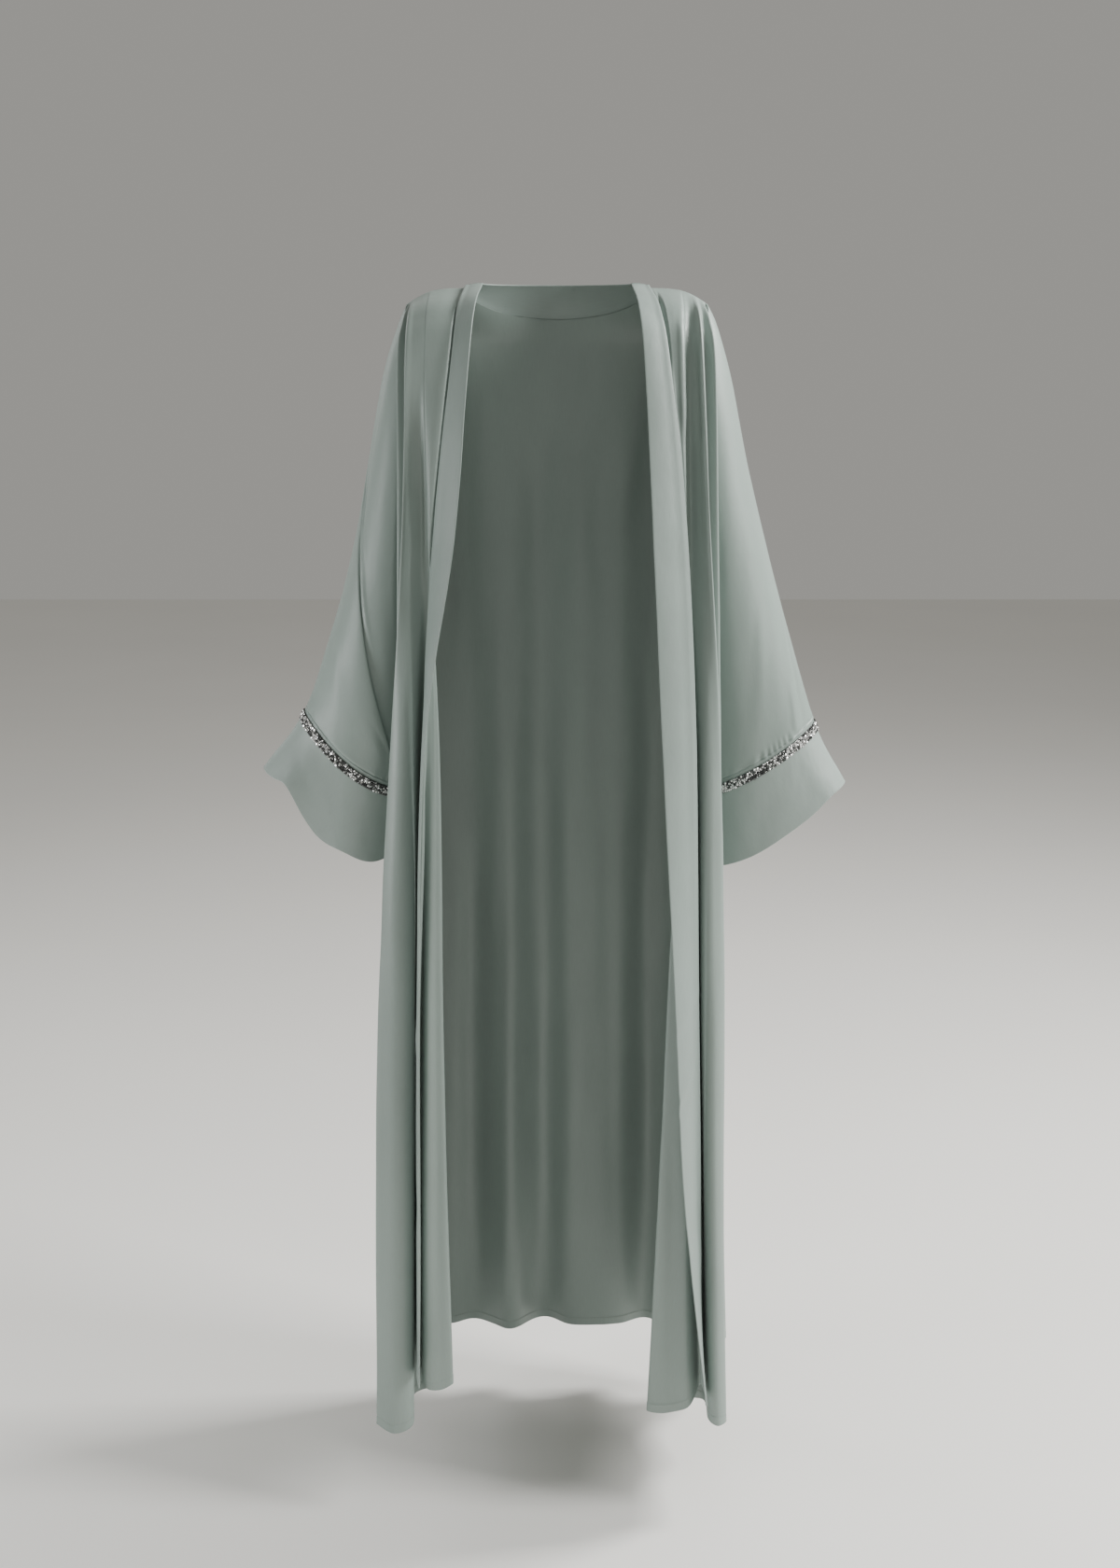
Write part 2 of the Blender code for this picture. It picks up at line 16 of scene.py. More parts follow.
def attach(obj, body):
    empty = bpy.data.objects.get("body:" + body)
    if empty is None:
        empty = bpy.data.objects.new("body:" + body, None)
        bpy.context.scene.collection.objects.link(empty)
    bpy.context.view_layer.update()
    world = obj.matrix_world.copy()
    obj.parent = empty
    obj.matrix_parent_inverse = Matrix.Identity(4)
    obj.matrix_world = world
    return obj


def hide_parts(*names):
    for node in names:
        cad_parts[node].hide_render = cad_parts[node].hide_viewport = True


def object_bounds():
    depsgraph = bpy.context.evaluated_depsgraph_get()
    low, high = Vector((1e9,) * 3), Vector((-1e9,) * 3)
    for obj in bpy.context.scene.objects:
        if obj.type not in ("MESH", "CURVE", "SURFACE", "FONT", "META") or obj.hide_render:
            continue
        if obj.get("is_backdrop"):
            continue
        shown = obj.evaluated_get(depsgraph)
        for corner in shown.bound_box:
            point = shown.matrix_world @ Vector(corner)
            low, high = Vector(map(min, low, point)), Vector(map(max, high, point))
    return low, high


def table(kind, *rows):
    """Rows of a table with their columns named, as a named tuple names them."""
    return tuple(kind(*row) for row in rows)


MM = 0.001
WALL = 0.9 * MM
BAND_WALL = 1.5 * MM
CUFF_WALL = 1.3 * MM
HEM = 11 * MM
HEM_EXTRA = 0.5 * MM
# A stitch: its length, thickness and pitch, and its profile as places along it and heights.
STITCH_LENGTH = 2.1 * MM
STITCH_THICK = 0.42 * MM
STITCH_PITCH = 3.1 * MM
STITCH_PROFILE = ((-0.5, -0.7), (-0.42, 0.1), (-0.2, 0.75), (0.2, 0.75), (0.42, 0.1), (0.5, -0.7))

NECK_SEAM = (112, -3)
NECK_EDGE_X = 91
SHOULDER_TIP = (184, -23)
UNDERARM = (171, -345)
ARMHOLE_FRONT = 50
ARMHOLE_BACK = 60
SHOULDER_CROWN = 7.5
SHOULDER_CROWN_SKEW = 1.25
SHOULDER_ROUNDING = 0.24
FOLD_ROUNDING = 0.2
FOLD_ROUNDING_LEAST = 4
FOLD_ROUNDING_MOST = 7
FOLD_ROUNDING_TOP = 1.5
FOLD_TOP_Z = -200
FRONT_TUCK_Y = -57
BACK_NECK_SEAM = (92, -40)
BACK_NECK_EDGE = (60, 1)

# Points across a front at several heights: the free edge and the seam of the band, the cleft
# beside it, the face, turn and rear of the main fold, the panel behind it with its outer turn, a
# second turn and the place where it tucks under at the side.
Row = namedtuple(
    "Row",
    "z free_x free_y seam_x seam_y cleft_y face_x turn_x turn_y rear_x rear_y"
    " inner_x inner_y panel_y outer_x outer_y second_x tuck_x",
)
RIGHT_FRONT = table(
    Row,
    (-100, 104, -118, 125, -104, -103, 132, 155, -101, 158, -100, 163, -99, -98, 180, -97, 191, 181),
    (-300, 120, -150, 146, -121, -119, 150, 152, -114, 157, -107, 162, -103, -110, 184, -118, 190, 168),
    (-550, 156, -168, 161, -126, -120, 151, 142, -115, 163, -98, 170, -119, -126, 200, -117, 195, 160),
    (-850, 165, -164, 169, -122, -101, 159, 140, -110, 175, -86, 174, -125, -134, 217, -122, 207, 172),
    (-1100, 168, -163, 172, -121, -101, 163, 137, -109, 179, -84, 177, -128, -137, 223, -125, 213, 188),
    (-1390, 169, -161, 174, -119, -101, 165, 131, -108, 183, -84, 180, -131, -140, 225, -128, 216, 196),
)
LEFT_FRONT = table(
    Row,
    (-100, 103, -118, 133, -108, -107, 137, 149, -102, 152, -93, 158, -90, -95, 173, -103, 189, 183),
    (-300, 113, -142, 153, -124, -122, 154, 153, -113, 156, -104, 161, -101, -109, 182, -118, 192, 172),
    (-550, 125, -148, 165, -127, -124, 156, 149, -116, 166, -101, 172, -117, -123, 196, -119, 196, 160),
    (-850, 141, -158, 171, -128, -112, 156, 136, -114, 175, -96, 176, -121, -130, 204, -118, 200, 172),
    (-1100, 154, -160, 176, -124, -108, 160, 127, -114, 180, -92, 182, -123, -132, 205, -120, 198, 184),
    (-1390, 184, -152, 182, -112, -100, 164, 113, -110, 185, -86, 189, -127, -136, 211, -124, 203, 196),
)

# The lines down a front that these points make, from the band seam to the side. For each: its
# share of the shoulder seam, how far its hem lies above the last row of the table, and the faces
# between it and the line before.
FoldLine = namedtuple("FoldLine", "name right_top left_top right_hem left_hem faces")
FRONT_FOLDS = table(
    FoldLine,
    ("seam", 0, 0, 52, 24, 0),
    ("cleft", 0.06, 0.07, 38, 12, 6),
    ("face", 0.13, 0.16, 20, -6, 6),
    ("face middle", 0.35, 0.34, 16, -13, 8),
    ("turn", 0.58, 0.52, 22, -13, 8),
    ("rear", 0.62, 0.56, 6, -12, 6),
    ("rear end", 0.66, 0.6, -8, -12, 6),
    ("inner edge", 0.71, 0.66, -19, -15, 8),
    ("panel", 0.82, 0.72, -26, -19, 10),
    ("outer turn", 0.91, 0.78, -21, -20, 9),
    ("dip", 0.935, 0.85, -28, -26, 8),
    ("second turn", 0.96, 0.92, -33, -30, 8),
    ("tuck", 0.98, 0.96, -38, -36, 7),
    ("side", 1, 1, -40, -40, 7),
)
_, RIGHT_TOPS, LEFT_TOPS, RIGHT_HEMS, LEFT_HEMS, FOLD_FACES = zip(*FRONT_FOLDS)
BAND_HEM = -6
# How far a band stands off its front: at its seam, over a few millimetres beside it, and more
# again along the seam edge of a front band.
BAND_STANDOFF = 1.25
BAND_RISE = 0.75
BAND_RISE_SPAN = 6
BAND_LIFT = 2.2
BAND_SWELL = 0.18
NECK_BAND_SWELL = 0.24
# The groove beside a band: its depth, its distance from the seam and its half width.
GROOVE = (4.6, 2.3, 1.6)
# The pleat beside a band at the shoulder: where the groove starts to show, the ends of the pleat
# and its depth.
Pleat = namedtuple("Pleat", "seam_top z_top z_bottom depth")
LEFT_PLEAT = Pleat(0, -6, -104, 8)
RIGHT_PLEAT = Pleat(16, -40, -120, 0)
# Places across a band, from its seam to its free edge, and the small waves along it: height,
# slope, half width, place across, reach across and depth.
BAND_SHARES = np.array(
    (-0.05, -0.04, -0.02, 0.02, 0.07, 0.14, 0.24, 0.36, 0.5, 0.64, 0.76, 0.86, 0.93, 0.97, 0.99, 1)
)
BandWave = namedtuple("BandWave", "z slope width share reach depth")
LEFT_WAVES = table(
    BandWave,
    (-150, 0.5, 26, 0.3, 0.7, 0.7),
    (-330, -0.5, 34, 0.6, 0.7, -0.8),
    (-560, 0.6, 30, 0.5, 0.7, 0.8),
    (-869, 0.9, 8, 0.5, 0.4, 1.2),
    (-884, 0.9, 7, 0.55, 0.4, -0.9),
    (-953, 1.2, 8, 0.75, 0.4, 1.3),
    (-968, 1.2, 7, 0.8, 0.4, -0.9),
    (-1180, -0.6, 26, 0.5, 0.6, 0.9),
)
RIGHT_WAVES = table(
    BandWave,
    (-170, -0.5, 28, 0.6, 0.7, 0.8),
    (-300, 0.5, 22, 0.4, 0.6, -0.7),
    (-430, -0.6, 30, 0.5, 0.7, 0.8),
    (-905, 0.8, 12, 0.5, 0.5, 0.8),
    (-1120, 0.6, 24, 0.5, 0.6, -0.8),
)

# The back at several heights: its outer turn, the place where it tucks under at the side, the
# depth of its middle and the depth of its waves.
BackRow = namedtuple("BackRow", "z outer_x outer_y tuck_x tuck_y centre_y fold_depth")
BACK = table(
    BackRow,
    (-100, 185, 82, 180, 61, 96, 0),
    (-300, 191, 92, 168, 63, 120, 3),
    (-550, 199, 96, 160, 52, 124, 6),
    (-850, 212, 106, 172, 54, 136, 10),
    (-1100, 222, 114, 186, 58, 148, 14),
    (-1390, 231, 122, 196, 61, 162, 18),
)
BACK_HEM_DROP = -40
# Rows of the back where the shoulder turns into the upright panel, and the columns at each side
# that stay on the armhole seam.
SHOULDER_ROUND_ROWS = (7, 43)
EDGE_COLUMNS = 14
EVENING_PASSES = 40
BACK_SEED = 7.3
# The lengths of the waves across the back, and the columns beside its side edge over which they
# are calm and then grow.
BACK_WAVE = 124
BACK_SHORT_WAVE = 79
BACK_CALM_COLUMNS = 17
BACK_WAVE_COLUMNS = 11
# Where the lines down half the back start along its top edge, and the faces between them.
BACK_TOP_SHARES = (0.0, 0.17, 0.34, 0.5, 0.68, 0.8, 0.9, 1.0)
BACK_FACES = (0, 14, 14, 10, 9, 6, 6, 8)

# Heights down the side seam, and how far out it lies there.
SIDE_Z = (-345, -550, -700, -850, -1100, -1430)
SIDE_X = (171, 165, 167, 182, 200, 212)

# Rows of faces down a panel between the heights of its table, from the shoulder seam down.
PANEL_ROWS = (14, 14, 26, 30, 34, 28, 30)
# More rows close to the shoulder tip, as places down the table.
TIP_PLACES = [0.006, 0.02, 0.042]
# Rows at these depths above the hem, and the length of the last step down a panel.
HEM_DEPTHS = (16, 13.4, 12.2, 11.6, 11, 10.4, 9.6, 7, 4, 2, 1, 0.4, 0)
HEM_SPAN = 320
# The height of the last row of the tables above.
LAST_Z = -1390
# The dip along a seam, its half width, and where it starts below the shoulder and over what
# height; and the same start and height for the slow waves of a panel.
SEAM_DIP = 0.7
SEAM_WIDTH = 3
SEAM_FADE = (34, 30)
WAVE_FADE = (20, 120)
# Slow uneven waves: how high they are, and where it matters their reach across and down.
FRONT_DRIFT = 1.3
BACK_DRIFT = 1.8
BAND_DRIFT = (0.7, 60, 170)
SLEEVE_DRIFT = (1.2, 60, 190)
CUFF_DRIFT = (0.9, 60, 80)
CUFF_CRINKLE = (0.35, 16, 24)

# Rings of a sleeve, from the armhole to the cuff's edge: the top and the underside, the half
# depths in front and behind, and the sag of the cloth between top and underside with its skew.
SleeveRow = namedtuple("SleeveRow", "outer_x outer_z under_x under_z front back sag skew")
RIGHT_SLEEVE = table(
    SleeveRow,
    (184, -23, 171, -345, 50, 60, 0, 1),
    (197, -55, 177, -385, 52, 62, 0, 1),
    (214, -112, 180, -430, 54, 62, 0, 1),
    (234, -222, 182, -490, 56, 60, 0, 1),
    (256, -330, 184, -545, 56, 57, 0, 1),
    (286, -440, 187, -592, 52, 53, 5, 1),
    (320, -533, 190, -634, 47, 48, 15, 1),
    (371, -602, 203, -706, 46, 47, 33, 2),
)
LEFT_SLEEVE = table(
    SleeveRow,
    (184, -23, 171, -345, 50, 60, 0, 1),
    (197, -52, 177, -385, 52, 62, 0, 1),
    (216, -118, 180, -430, 54, 62, 0, 1),
    (236, -222, 182, -490, 56, 60, 0, 1),
    (263, -332, 184, -550, 56, 57, 0, 1),
    (293, -440, 187, -598, 52, 53, 0, 1),
    (325, -547, 189, -631, 47, 48, 4, 1),
    (364, -621, 192, -728, 46, 47, 12, 1.3),
)
SLEEVE_SIDES = 240
SLEEVE_ROWS = (6, 8, 12, 16, 16, 14)
CUFF_ROWS = 16
# Rows at these depths above a cuff seam and above the edge of a cuff.
SEAM_DEPTHS = (24, 21, 18, 15.6, 13.8, 12.8, 12, 11.2, 10.6, 10.2, 9.8, 9.2, 8.4, 7, 4.5, 2, 0)
EDGE_DEPTHS = (9, 6, 4, 2.6, 1.6, 0.9, 0.4, 0.1, 0)
# Beside a cuff seam: the dip in it, the sewn ridge above with a groove under it, and the puckers
# above that, as depth, distance from the seam and half width; and how many puckers go round.
CUFF_DIP = (-0.5, 0, 2.5)
RIDGE = (0.6, 10.3, 0.8)
RIDGE_GROOVE = (-0.5, 12.1, 0.9)
PUCKER = (1.2, 14, 5)
PUCKERS = 38
# The ring of a sleeve's table at its cuff seam, and the rings worked out on each side of it.
CUFF_SEAM = 6
SEAM_RINGS = 25
# Rows of a sleeve and of its cuff that a trim may lie on.
SEAM_ROWS_ABOVE = 22
SEAM_ROWS_BELOW = 12

# The top fold of a sleeve at each ring: its place from the top to the underside, and how far the
# cloth above it stands back from the cloth below.
SleeveFold = namedtuple("SleeveFold", "place height")
RIGHT_SLEEVE_FOLD = table(
    SleeveFold,
    (0.10, 0),
    (0.09, 0),
    (0.08, 3),
    (0.07, 9),
    (0.20, -4),
    (0.76, -8),
    (0.84, -2),
    (0.86, 0),
)
LEFT_SLEEVE_FOLD = tuple(SleeveFold(0.35, 0) for row in LEFT_SLEEVE)
FACES_ABOVE_FOLD = 0.2
FOLD_SPAN = 0.1
FOLD_OVERLAP = 0.05

# Waves in the edge of a cuff: the place from the top to the underside, the reach and the rise.
CuffWave = namedtuple("CuffWave", "place reach rise")
RIGHT_CUFF_WAVES = (CuffWave(0.19, 0.08, 12), CuffWave(0.42, 0.16, -19))
LEFT_CUFF_WAVES = (CuffWave(0.12, 0.10, 4), CuffWave(0.46, 0.18, 2))

# Soft troughs (negative depth) and ridges laid on a front: heights and outward places of the
# ends, half width and depth, and the fold lines between which they lie.
Crease = namedtuple(
    "Crease", "z_top x_top z_bottom x_bottom width depth first last", defaults=(0, 99)
)
LEFT_CREASES = table(
    Crease,
    (-34, 146, -190, 150, 4, 2.0, 3, 6),
    (-120, 137, -330, 149, 5, -1.4, 1, 4),
    (-60, 163, -210, 170, 4, -1.6, 7, 9),
    (-420, 180, -900, 186, 7, 1.2, 7, 9),
    (-560, 186, -1320, 196, 8, -1.2, 7, 9),
    (-1000, 128, -1400, 132, 12, -1.6, 2, 4),
    (-1060, 146, -1400, 152, 14, 1.8, 1, 4),
)
RIGHT_CREASES = table(
    Crease,
    (-110, 141, -360, 148, 11, 0.9, 1, 5),
    (-160, 172, -420, 178, 7, -1.0, 7, 9),
    (-420, 186, -900, 200, 12, 1.2, 7, 10),
    (-700, 208, -1300, 214, 9, -1.2, 7, 10),
    (-900, 194, -1400, 200, 13, 1.2, 7, 10),
    (-760, 148, -1350, 150, 9, 1.4, 2, 4),
)
# The same for the back, seen from behind: x is positive on the wearer's left.
BACK_CREASES = table(
    Crease,
    (-60, -128, -520, -150, 14, 2.4),
    (-70, -96, -620, -104, 16, -2.6),
    (-60, 118, -560, 138, 15, 2.6),
    (-80, 84, -700, 92, 17, -2.4),
    (-160, -24, -900, -30, 20, 2.0),
    (-200, 34, -820, 40, 18, -2.0),
    (-520, 10, -1400, 12, 13, -3.0),
    (-640, -72, -1400, -84, 12, 3.2),
    (-600, 68, -1400, 78, 13, 3.0),
    (-700, -130, -1400, -146, 12, -3.2),
    (-660, 126, -1400, 142, 12, -3.0),
    (-560, 170, -1400, 196, 11, 2.6),
    (-540, -168, -1400, -198, 12, 2.4),
)

# Creases on a sleeve: rings at their ends, places round the sleeve (0 is the top fold, 0.25 the
# front, 0.5 the underside and 0.75 the back), half width and depth.
SleeveCrease = namedtuple("SleeveCrease", "ring_top side_top ring_bottom side_bottom width depth")
LEFT_SLEEVE_CREASES = table(
    SleeveCrease,
    (1.2, 0.26, 5.8, 0.34, 24, -1.2),
    (2.4, 0.36, 5.9, 0.41, 14, 1.6),
    (4.6, 0.04, 5.95, 0.12, 6, -1.2),
    (3.9, 0.14, 5.6, 0.26, 14, 1.1),
    (5.1, 0.10, 5.95, 0.17, 5, 1.0),
    (0.4, 0.90, 5.6, 0.80, 22, -1.6),
    (0.8, 0.78, 5.8, 0.68, 20, 1.8),
    (2.0, 0.62, 5.9, 0.60, 11, -2.2),
)
RIGHT_SLEEVE_CREASES = table(
    SleeveCrease,
    (2.8, 0.06, 4.35, 0.23, 8, -6.0),
    (2.9, 0.11, 4.3, 0.28, 8, 1.8),
    (1.4, 0.30, 4.6, 0.42, 16, 1.0),
    (4.6, 0.05, 5.9, 0.12, 8, 1.2),
    (4.9, 0.13, 5.8, 0.20, 6, -1.2),
    (4.4, 0.20, 5.9, 0.27, 12, -1.4),
    (0.5, 0.88, 5.4, 0.82, 15, 2.2),
    (0.9, 0.76, 5.8, 0.70, 13, -2.4),
    (2.2, 0.64, 5.9, 0.60, 11, 2.0),
)

# Each side's tables. x is multiplied by side, and the seed sets the slow uneven waves.
Front = namedtuple("Front", "side seed rows tops hems pleat creases waves")
FRONTS = {
    "left": Front(1, 3, LEFT_FRONT, LEFT_TOPS, LEFT_HEMS, LEFT_PLEAT, LEFT_CREASES, LEFT_WAVES),
    "right": Front(
        -1, 11, RIGHT_FRONT, RIGHT_TOPS, RIGHT_HEMS, RIGHT_PLEAT, RIGHT_CREASES, RIGHT_WAVES
    ),
}
Sleeve = namedtuple("Sleeve", "side seed rows folds creases waves")
SLEEVES = {
    "left": Sleeve(1, 4, LEFT_SLEEVE, LEFT_SLEEVE_FOLD, LEFT_SLEEVE_CREASES, LEFT_CUFF_WAVES),
    "right": Sleeve(-1, 12, RIGHT_SLEEVE, RIGHT_SLEEVE_FOLD, RIGHT_SLEEVE_CREASES, RIGHT_CUFF_WAVES),
}

TRIM_WIDTH = 13 * MM
TRIM_STANDOFF = 1.2 * MM
NET_WALL = 0.8 * MM
EDGE_RADIUS = 0.8 * MM
# The stones: rows across a trim, radii, how far one strays from its row, how much it tilts, its
# facets as reach, height and turn of each ring, and how many of each kind there are.
STONE_LANES = (-5, -2.5, 0, 2.5, 5)
STONE_RADII = (1.05 * MM, 1.25 * MM, 1.5 * MM, 1.8 * MM)
STONE_STRAY = 0.35
STONE_TILT = 0.16
STONE_SIDES = 8
STONE_RINGS = ((1, 0.1, 0), (1, 0.35, 0), (0.56, 0.85, 0.5))
STONE_MIX = (38, 20, 42)

SAGE = (0.23, 0.284, 0.26)
BAND_SAGE = (0.238, 0.292, 0.27)
CUFF_SAGE = (0.265, 0.32, 0.297)
THREAD = (0.2, 0.235, 0.212)
NET_DARK = (0.03, 0.031, 0.03)
SILVER = (0.78, 0.79, 0.78)
CLEAR = (0.9, 0.91, 0.9)
SMOKE = (0.09, 0.095, 0.095)
FLOOR_COLOUR = (0.84, 0.83, 0.8)
WORLD_COLOUR = (0.98, 0.96, 0.9, 1)
WORLD_STRENGTH = 0.34
# Name, place, what it points at, size, power and colour.
LAMPS = (
    ("key", (2.5, -0.85, 0.9), (0.05, 0, -0.5), (0.7, 1.6), 104, (1, 0.99, 0.97)),
    ("side", (2.3, 0.55, 1.5), (0.1, 0, -0.3), (0.7, 1.2), 140, (1, 0.99, 0.97)),
    ("fill", (-1.7, -0.55, -0.55), (-0.25, 0, -0.6), (0.5, 1.0), 16, (0.98, 0.99, 1)),
    ("front", (0.0, -3.4, 0.2), (0, 0, -1.1), (1.6, 1.0), 6, (1, 1, 1)),
    ("rim", (-1.9, 1.5, 0.8), (-0.1, 0, -0.6), (0.8, 1.8), 12, (1, 1, 1)),
)
FLOOR_Z = -1.53
FLOOR_REACH = 9.0
CAMERA_PLACE = (0.0035, -2.375, -0.087)
CAMERA_PITCH = 7
SENSOR_WIDTH = 36
LENS = 43.93
SHIFT_Y = -0.1226


def vec(x, y, z):
    return np.array((x, y, z), dtype=float)


def unit(vectors):
    length = np.linalg.norm(vectors, axis=-1, keepdims=True)
    return vectors / np.maximum(length, 1e-12)


def eased(share):
    share = np.clip(share, 0, 1)
    return share * share * (3 - 2 * share)


def bell(distance, width):
    return np.exp(-((distance / width) ** 2))


def lerp(start, end, share):
    return start + (end - start) * share


def spline(values, place):
    """The value at a place along a list, on a smooth curve through its entries."""
    first = min(int(place), len(values) - 2)
    t = place - first
    start, end = values[first : first + 2]
    leave = arrive = end - start
    if first > 0:
        leave = (end - values[first - 1]) * 0.5
    if first < len(values) - 2:
        arrive = (values[first + 2] - start) * 0.5
    cubic = 2 * t**3 - 3 * t**2
    bend = leave * (t**3 - 2 * t**2 + t)
    return start * (cubic + 1) + bend - end * cubic + arrive * (t**3 - t**2)


def places_of(counts):
    """Places along a table: so many steps between each entry and the next."""
    places = [0.0]
    for index, count in enumerate(counts):
        places += [index + step / count for step in range(1, count + 1)]
    return places


def panel_places():
    """Places down a panel, closer together at the shoulder tip and at the hem."""
    places = [place for place in places_of(PANEL_ROWS) if place < len(PANEL_ROWS) - 0.06]
    places[1:1] = TIP_PLACES
    return places + [len(PANEL_ROWS) - depth / HEM_SPAN for depth in HEM_DEPTHS]


def curve_through(points, faces):
    """A smooth curve through points, with so many faces before each of them."""
    places = places_of(faces[1:])
    return [spline(points, place) for place in places]


def table_place(heights, z):
    """The place along a table of falling heights at height z."""
    for index in range(len(heights) - 1):
        if z >= heights[index + 1]:
            return index + (heights[index] - z) / (heights[index] - heights[index + 1])
    return len(heights) - 1


def body_edge(z, depth):
    """The edge of a panel at height z: round the armhole, then down the side seam."""
    if z <= UNDERARM[1]:
        place = max(0, table_place(SIDE_Z, min(z, SIDE_Z[0])))
        return vec(spline(SIDE_X, place), 0, z)
    share = min(1.0, max(0.0, (SHOULDER_TIP[1] - z) / (SHOULDER_TIP[1] - UNDERARM[1])))
    x = lerp(SHOULDER_TIP[0], UNDERARM[0], share)
    return vec(x, depth * 2 * math.sqrt(share * (1 - share)), z)


def shoulder_point(share):
    """A point of the shoulder seam, from its neck end to its tip."""
    x = lerp(NECK_SEAM[0], SHOULDER_TIP[0], share)
    crown = SHOULDER_CROWN * math.sin(math.pi * share**SHOULDER_CROWN_SKEW)
    return vec(x, 0, lerp(NECK_SEAM[1], SHOULDER_TIP[1], share) + crown)


def shoulder_round(top, chest):
    """The point half way over the shoulder, lifted off the straight line from top to chest."""
    chord = chest - top
    flip = 1 if chord[1] > 0 else -1
    lift = unit(vec(0, -flip * chord[2], abs(chord[1])))
    return top + chord * 0.5 + lift * abs(chord[1]) * SHOULDER_ROUNDING


def front_points(row):
    """The fold points of a front at one height, in the order of FRONT_FOLDS but the side."""
    bulge = FOLD_ROUNDING * (row.rear_x - row.turn_x)
    least = FOLD_ROUNDING_TOP if row.z > FOLD_TOP_Z else FOLD_ROUNDING_LEAST
    bulge = min(FOLD_ROUNDING_MOST, max(least, bulge))
    gap = max(0, row.second_x - row.outer_x)
    return (
        (row.seam_x, row.seam_y),
        (lerp(row.seam_x, row.face_x, 0.25), row.cleft_y),
        (row.face_x, row.turn_y - bulge),
        (lerp(row.face_x, row.turn_x, 0.55), row.turn_y - 0.8 * bulge),
        (row.turn_x, row.turn_y),
        (lerp(row.turn_x, row.rear_x, 0.45), lerp(row.turn_y, row.rear_y, 0.85)),
        (row.rear_x, row.rear_y),
        (row.inner_x, row.inner_y),
        (lerp(row.inner_x, row.outer_x, 0.5), row.panel_y),
        (row.outer_x, row.outer_y),
        (lerp(row.outer_x, row.second_x, 0.5) - 5, row.outer_y + 11 + 0.6 * gap),
        (row.second_x, row.outer_y + 21 - 0.4 * gap),
        (row.tuck_x, FRONT_TUCK_Y),
    )


def fold_path(rows, points_of, index, top, hem):
    """One fold line of a panel, from its top edge to its hem."""
    path = [vec(*points_of(row)[index], row.z) for row in rows]
    path[-1][2] += hem
    return [top, shoulder_round(top, path[0])] + path


def side_heights(rows, hem):
    """Heights of the side edge of a panel, beside the points of its fold lines."""
    heights = [row.z for row in rows]
    heights[-1] += hem
    return [SHOULDER_TIP[1], lerp(SHOULDER_TIP[1], heights[0], 0.4)] + heights


def sections(rows, points_of, tops, hems, armhole, faces):
    """Curves across a panel, from its inner edge to its side and from the shoulder to the hem."""
    lines = []
    for index, (top, hem) in enumerate(zip(tops, hems)):
        lines.append(fold_path(rows, points_of, index, top, hem))
    heights = side_heights(rows, hems[-1])
    for step in panel_places():
        section = [spline(line, step) for line in lines]
        section.append(body_edge(spline(heights, step), armhole))
        yield curve_through(section, faces)


def front_grid(front):
    """The middle surface of a front in millimetres, as rows from the shoulder to the hem."""
    tops = [shoulder_point(share) for share in front.tops[:-1]]
    return np.array(
        list(sections(front.rows, front_points, tops, front.hems, -ARMHOLE_FRONT, FOLD_FACES))
    )


def back_wave(x):
    long_wave = math.cos(2 * math.pi * x / BACK_WAVE + 0.5)
    return 0.7 * long_wave + 0.35 * math.cos(2 * math.pi * x / BACK_SHORT_WAVE + 2.1)


def back_points(row):
    return (
        (0, row.centre_y),
        (0.3 * row.outer_x, row.centre_y),
        (0.6 * row.outer_x, row.centre_y - 3),
        (0.84 * row.outer_x, lerp(row.outer_y, row.centre_y, 0.72)),
        (row.outer_x, row.outer_y),
        (row.outer_x - 9, row.outer_y - 15),
        (row.tuck_x, row.tuck_y),
    )


def neck_point(angle, end, back):
    """A point round the neck: the middle of the back at angle 0, its shoulder end at a right angle."""
    share = math.cos(angle)
    return vec(end[0] * math.sin(angle), lerp(end[1], back[0], share), lerp(end[2], back[1], share))


def back_top(share):
    """The top edge of half the back: round the neck seam, then along the shoulder seam."""
    neck = BACK_TOP_SHARES[3]
    if share >= neck:
        return shoulder_point((share - neck) / (1 - neck))
    return neck_point(math.pi / 2 * share / neck, shoulder_point(0), BACK_NECK_SEAM)


def back_half_grid(side):
    """Half the middle surface of the back in millimetres, in soft waves that calm at its side."""
    tops = [back_top(share) for share in BACK_TOP_SHARES[:-1]]
    hems = [BACK_HEM_DROP] * len(BACK_TOP_SHARES)
    depths = [0, 0] + [row.fold_depth for row in BACK]
    edge = [back_top(share) for share in curve_through(BACK_TOP_SHARES, BACK_FACES)]
    grid = []
    curves = sections(BACK, back_points, tops, hems, ARMHOLE_BACK, BACK_FACES)
    for step, points in zip(panel_places(), curves):
        if step < 0.5:
            points = [lerp(top, point, eased(2 * step)) for top, point in zip(edge, points)]
        calm = len(points) - BACK_CALM_COLUMNS
        depth = spline(depths, step)
        for index, point in enumerate(points[:calm]):
            point[1] += depth * min(1.0, (calm - index) / BACK_WAVE_COLUMNS) * back_wave(side * point[0])
        for point in points:
            point[0] *= side
        grid.append(points)
    return grid


def back_grid():
    left = back_half_grid(1)
    right = back_half_grid(-1)
    return np.array([list(reversed(far[1:])) + near for near, far in zip(left, right)])


def grid_normals(grid, closed=False):
    """Unit normals of a grid of points, closed round its columns or open."""
    down = np.gradient(grid, axis=0)
    if closed:
        across = np.roll(grid, -1, axis=1) - np.roll(grid, 1, axis=1)
    else:
        across = np.gradient(grid, axis=1)
    return unit(np.cross(across, down))


def outward_normals(grid, closed=False):
    """Normals that point away from the body, or out of a sleeve."""
    normals = grid_normals(grid, closed)
    centre = grid.mean(axis=1, keepdims=True) if closed else grid * (0, 0, 1)
    return normals * np.sign(np.sum(normals * (grid - centre)))


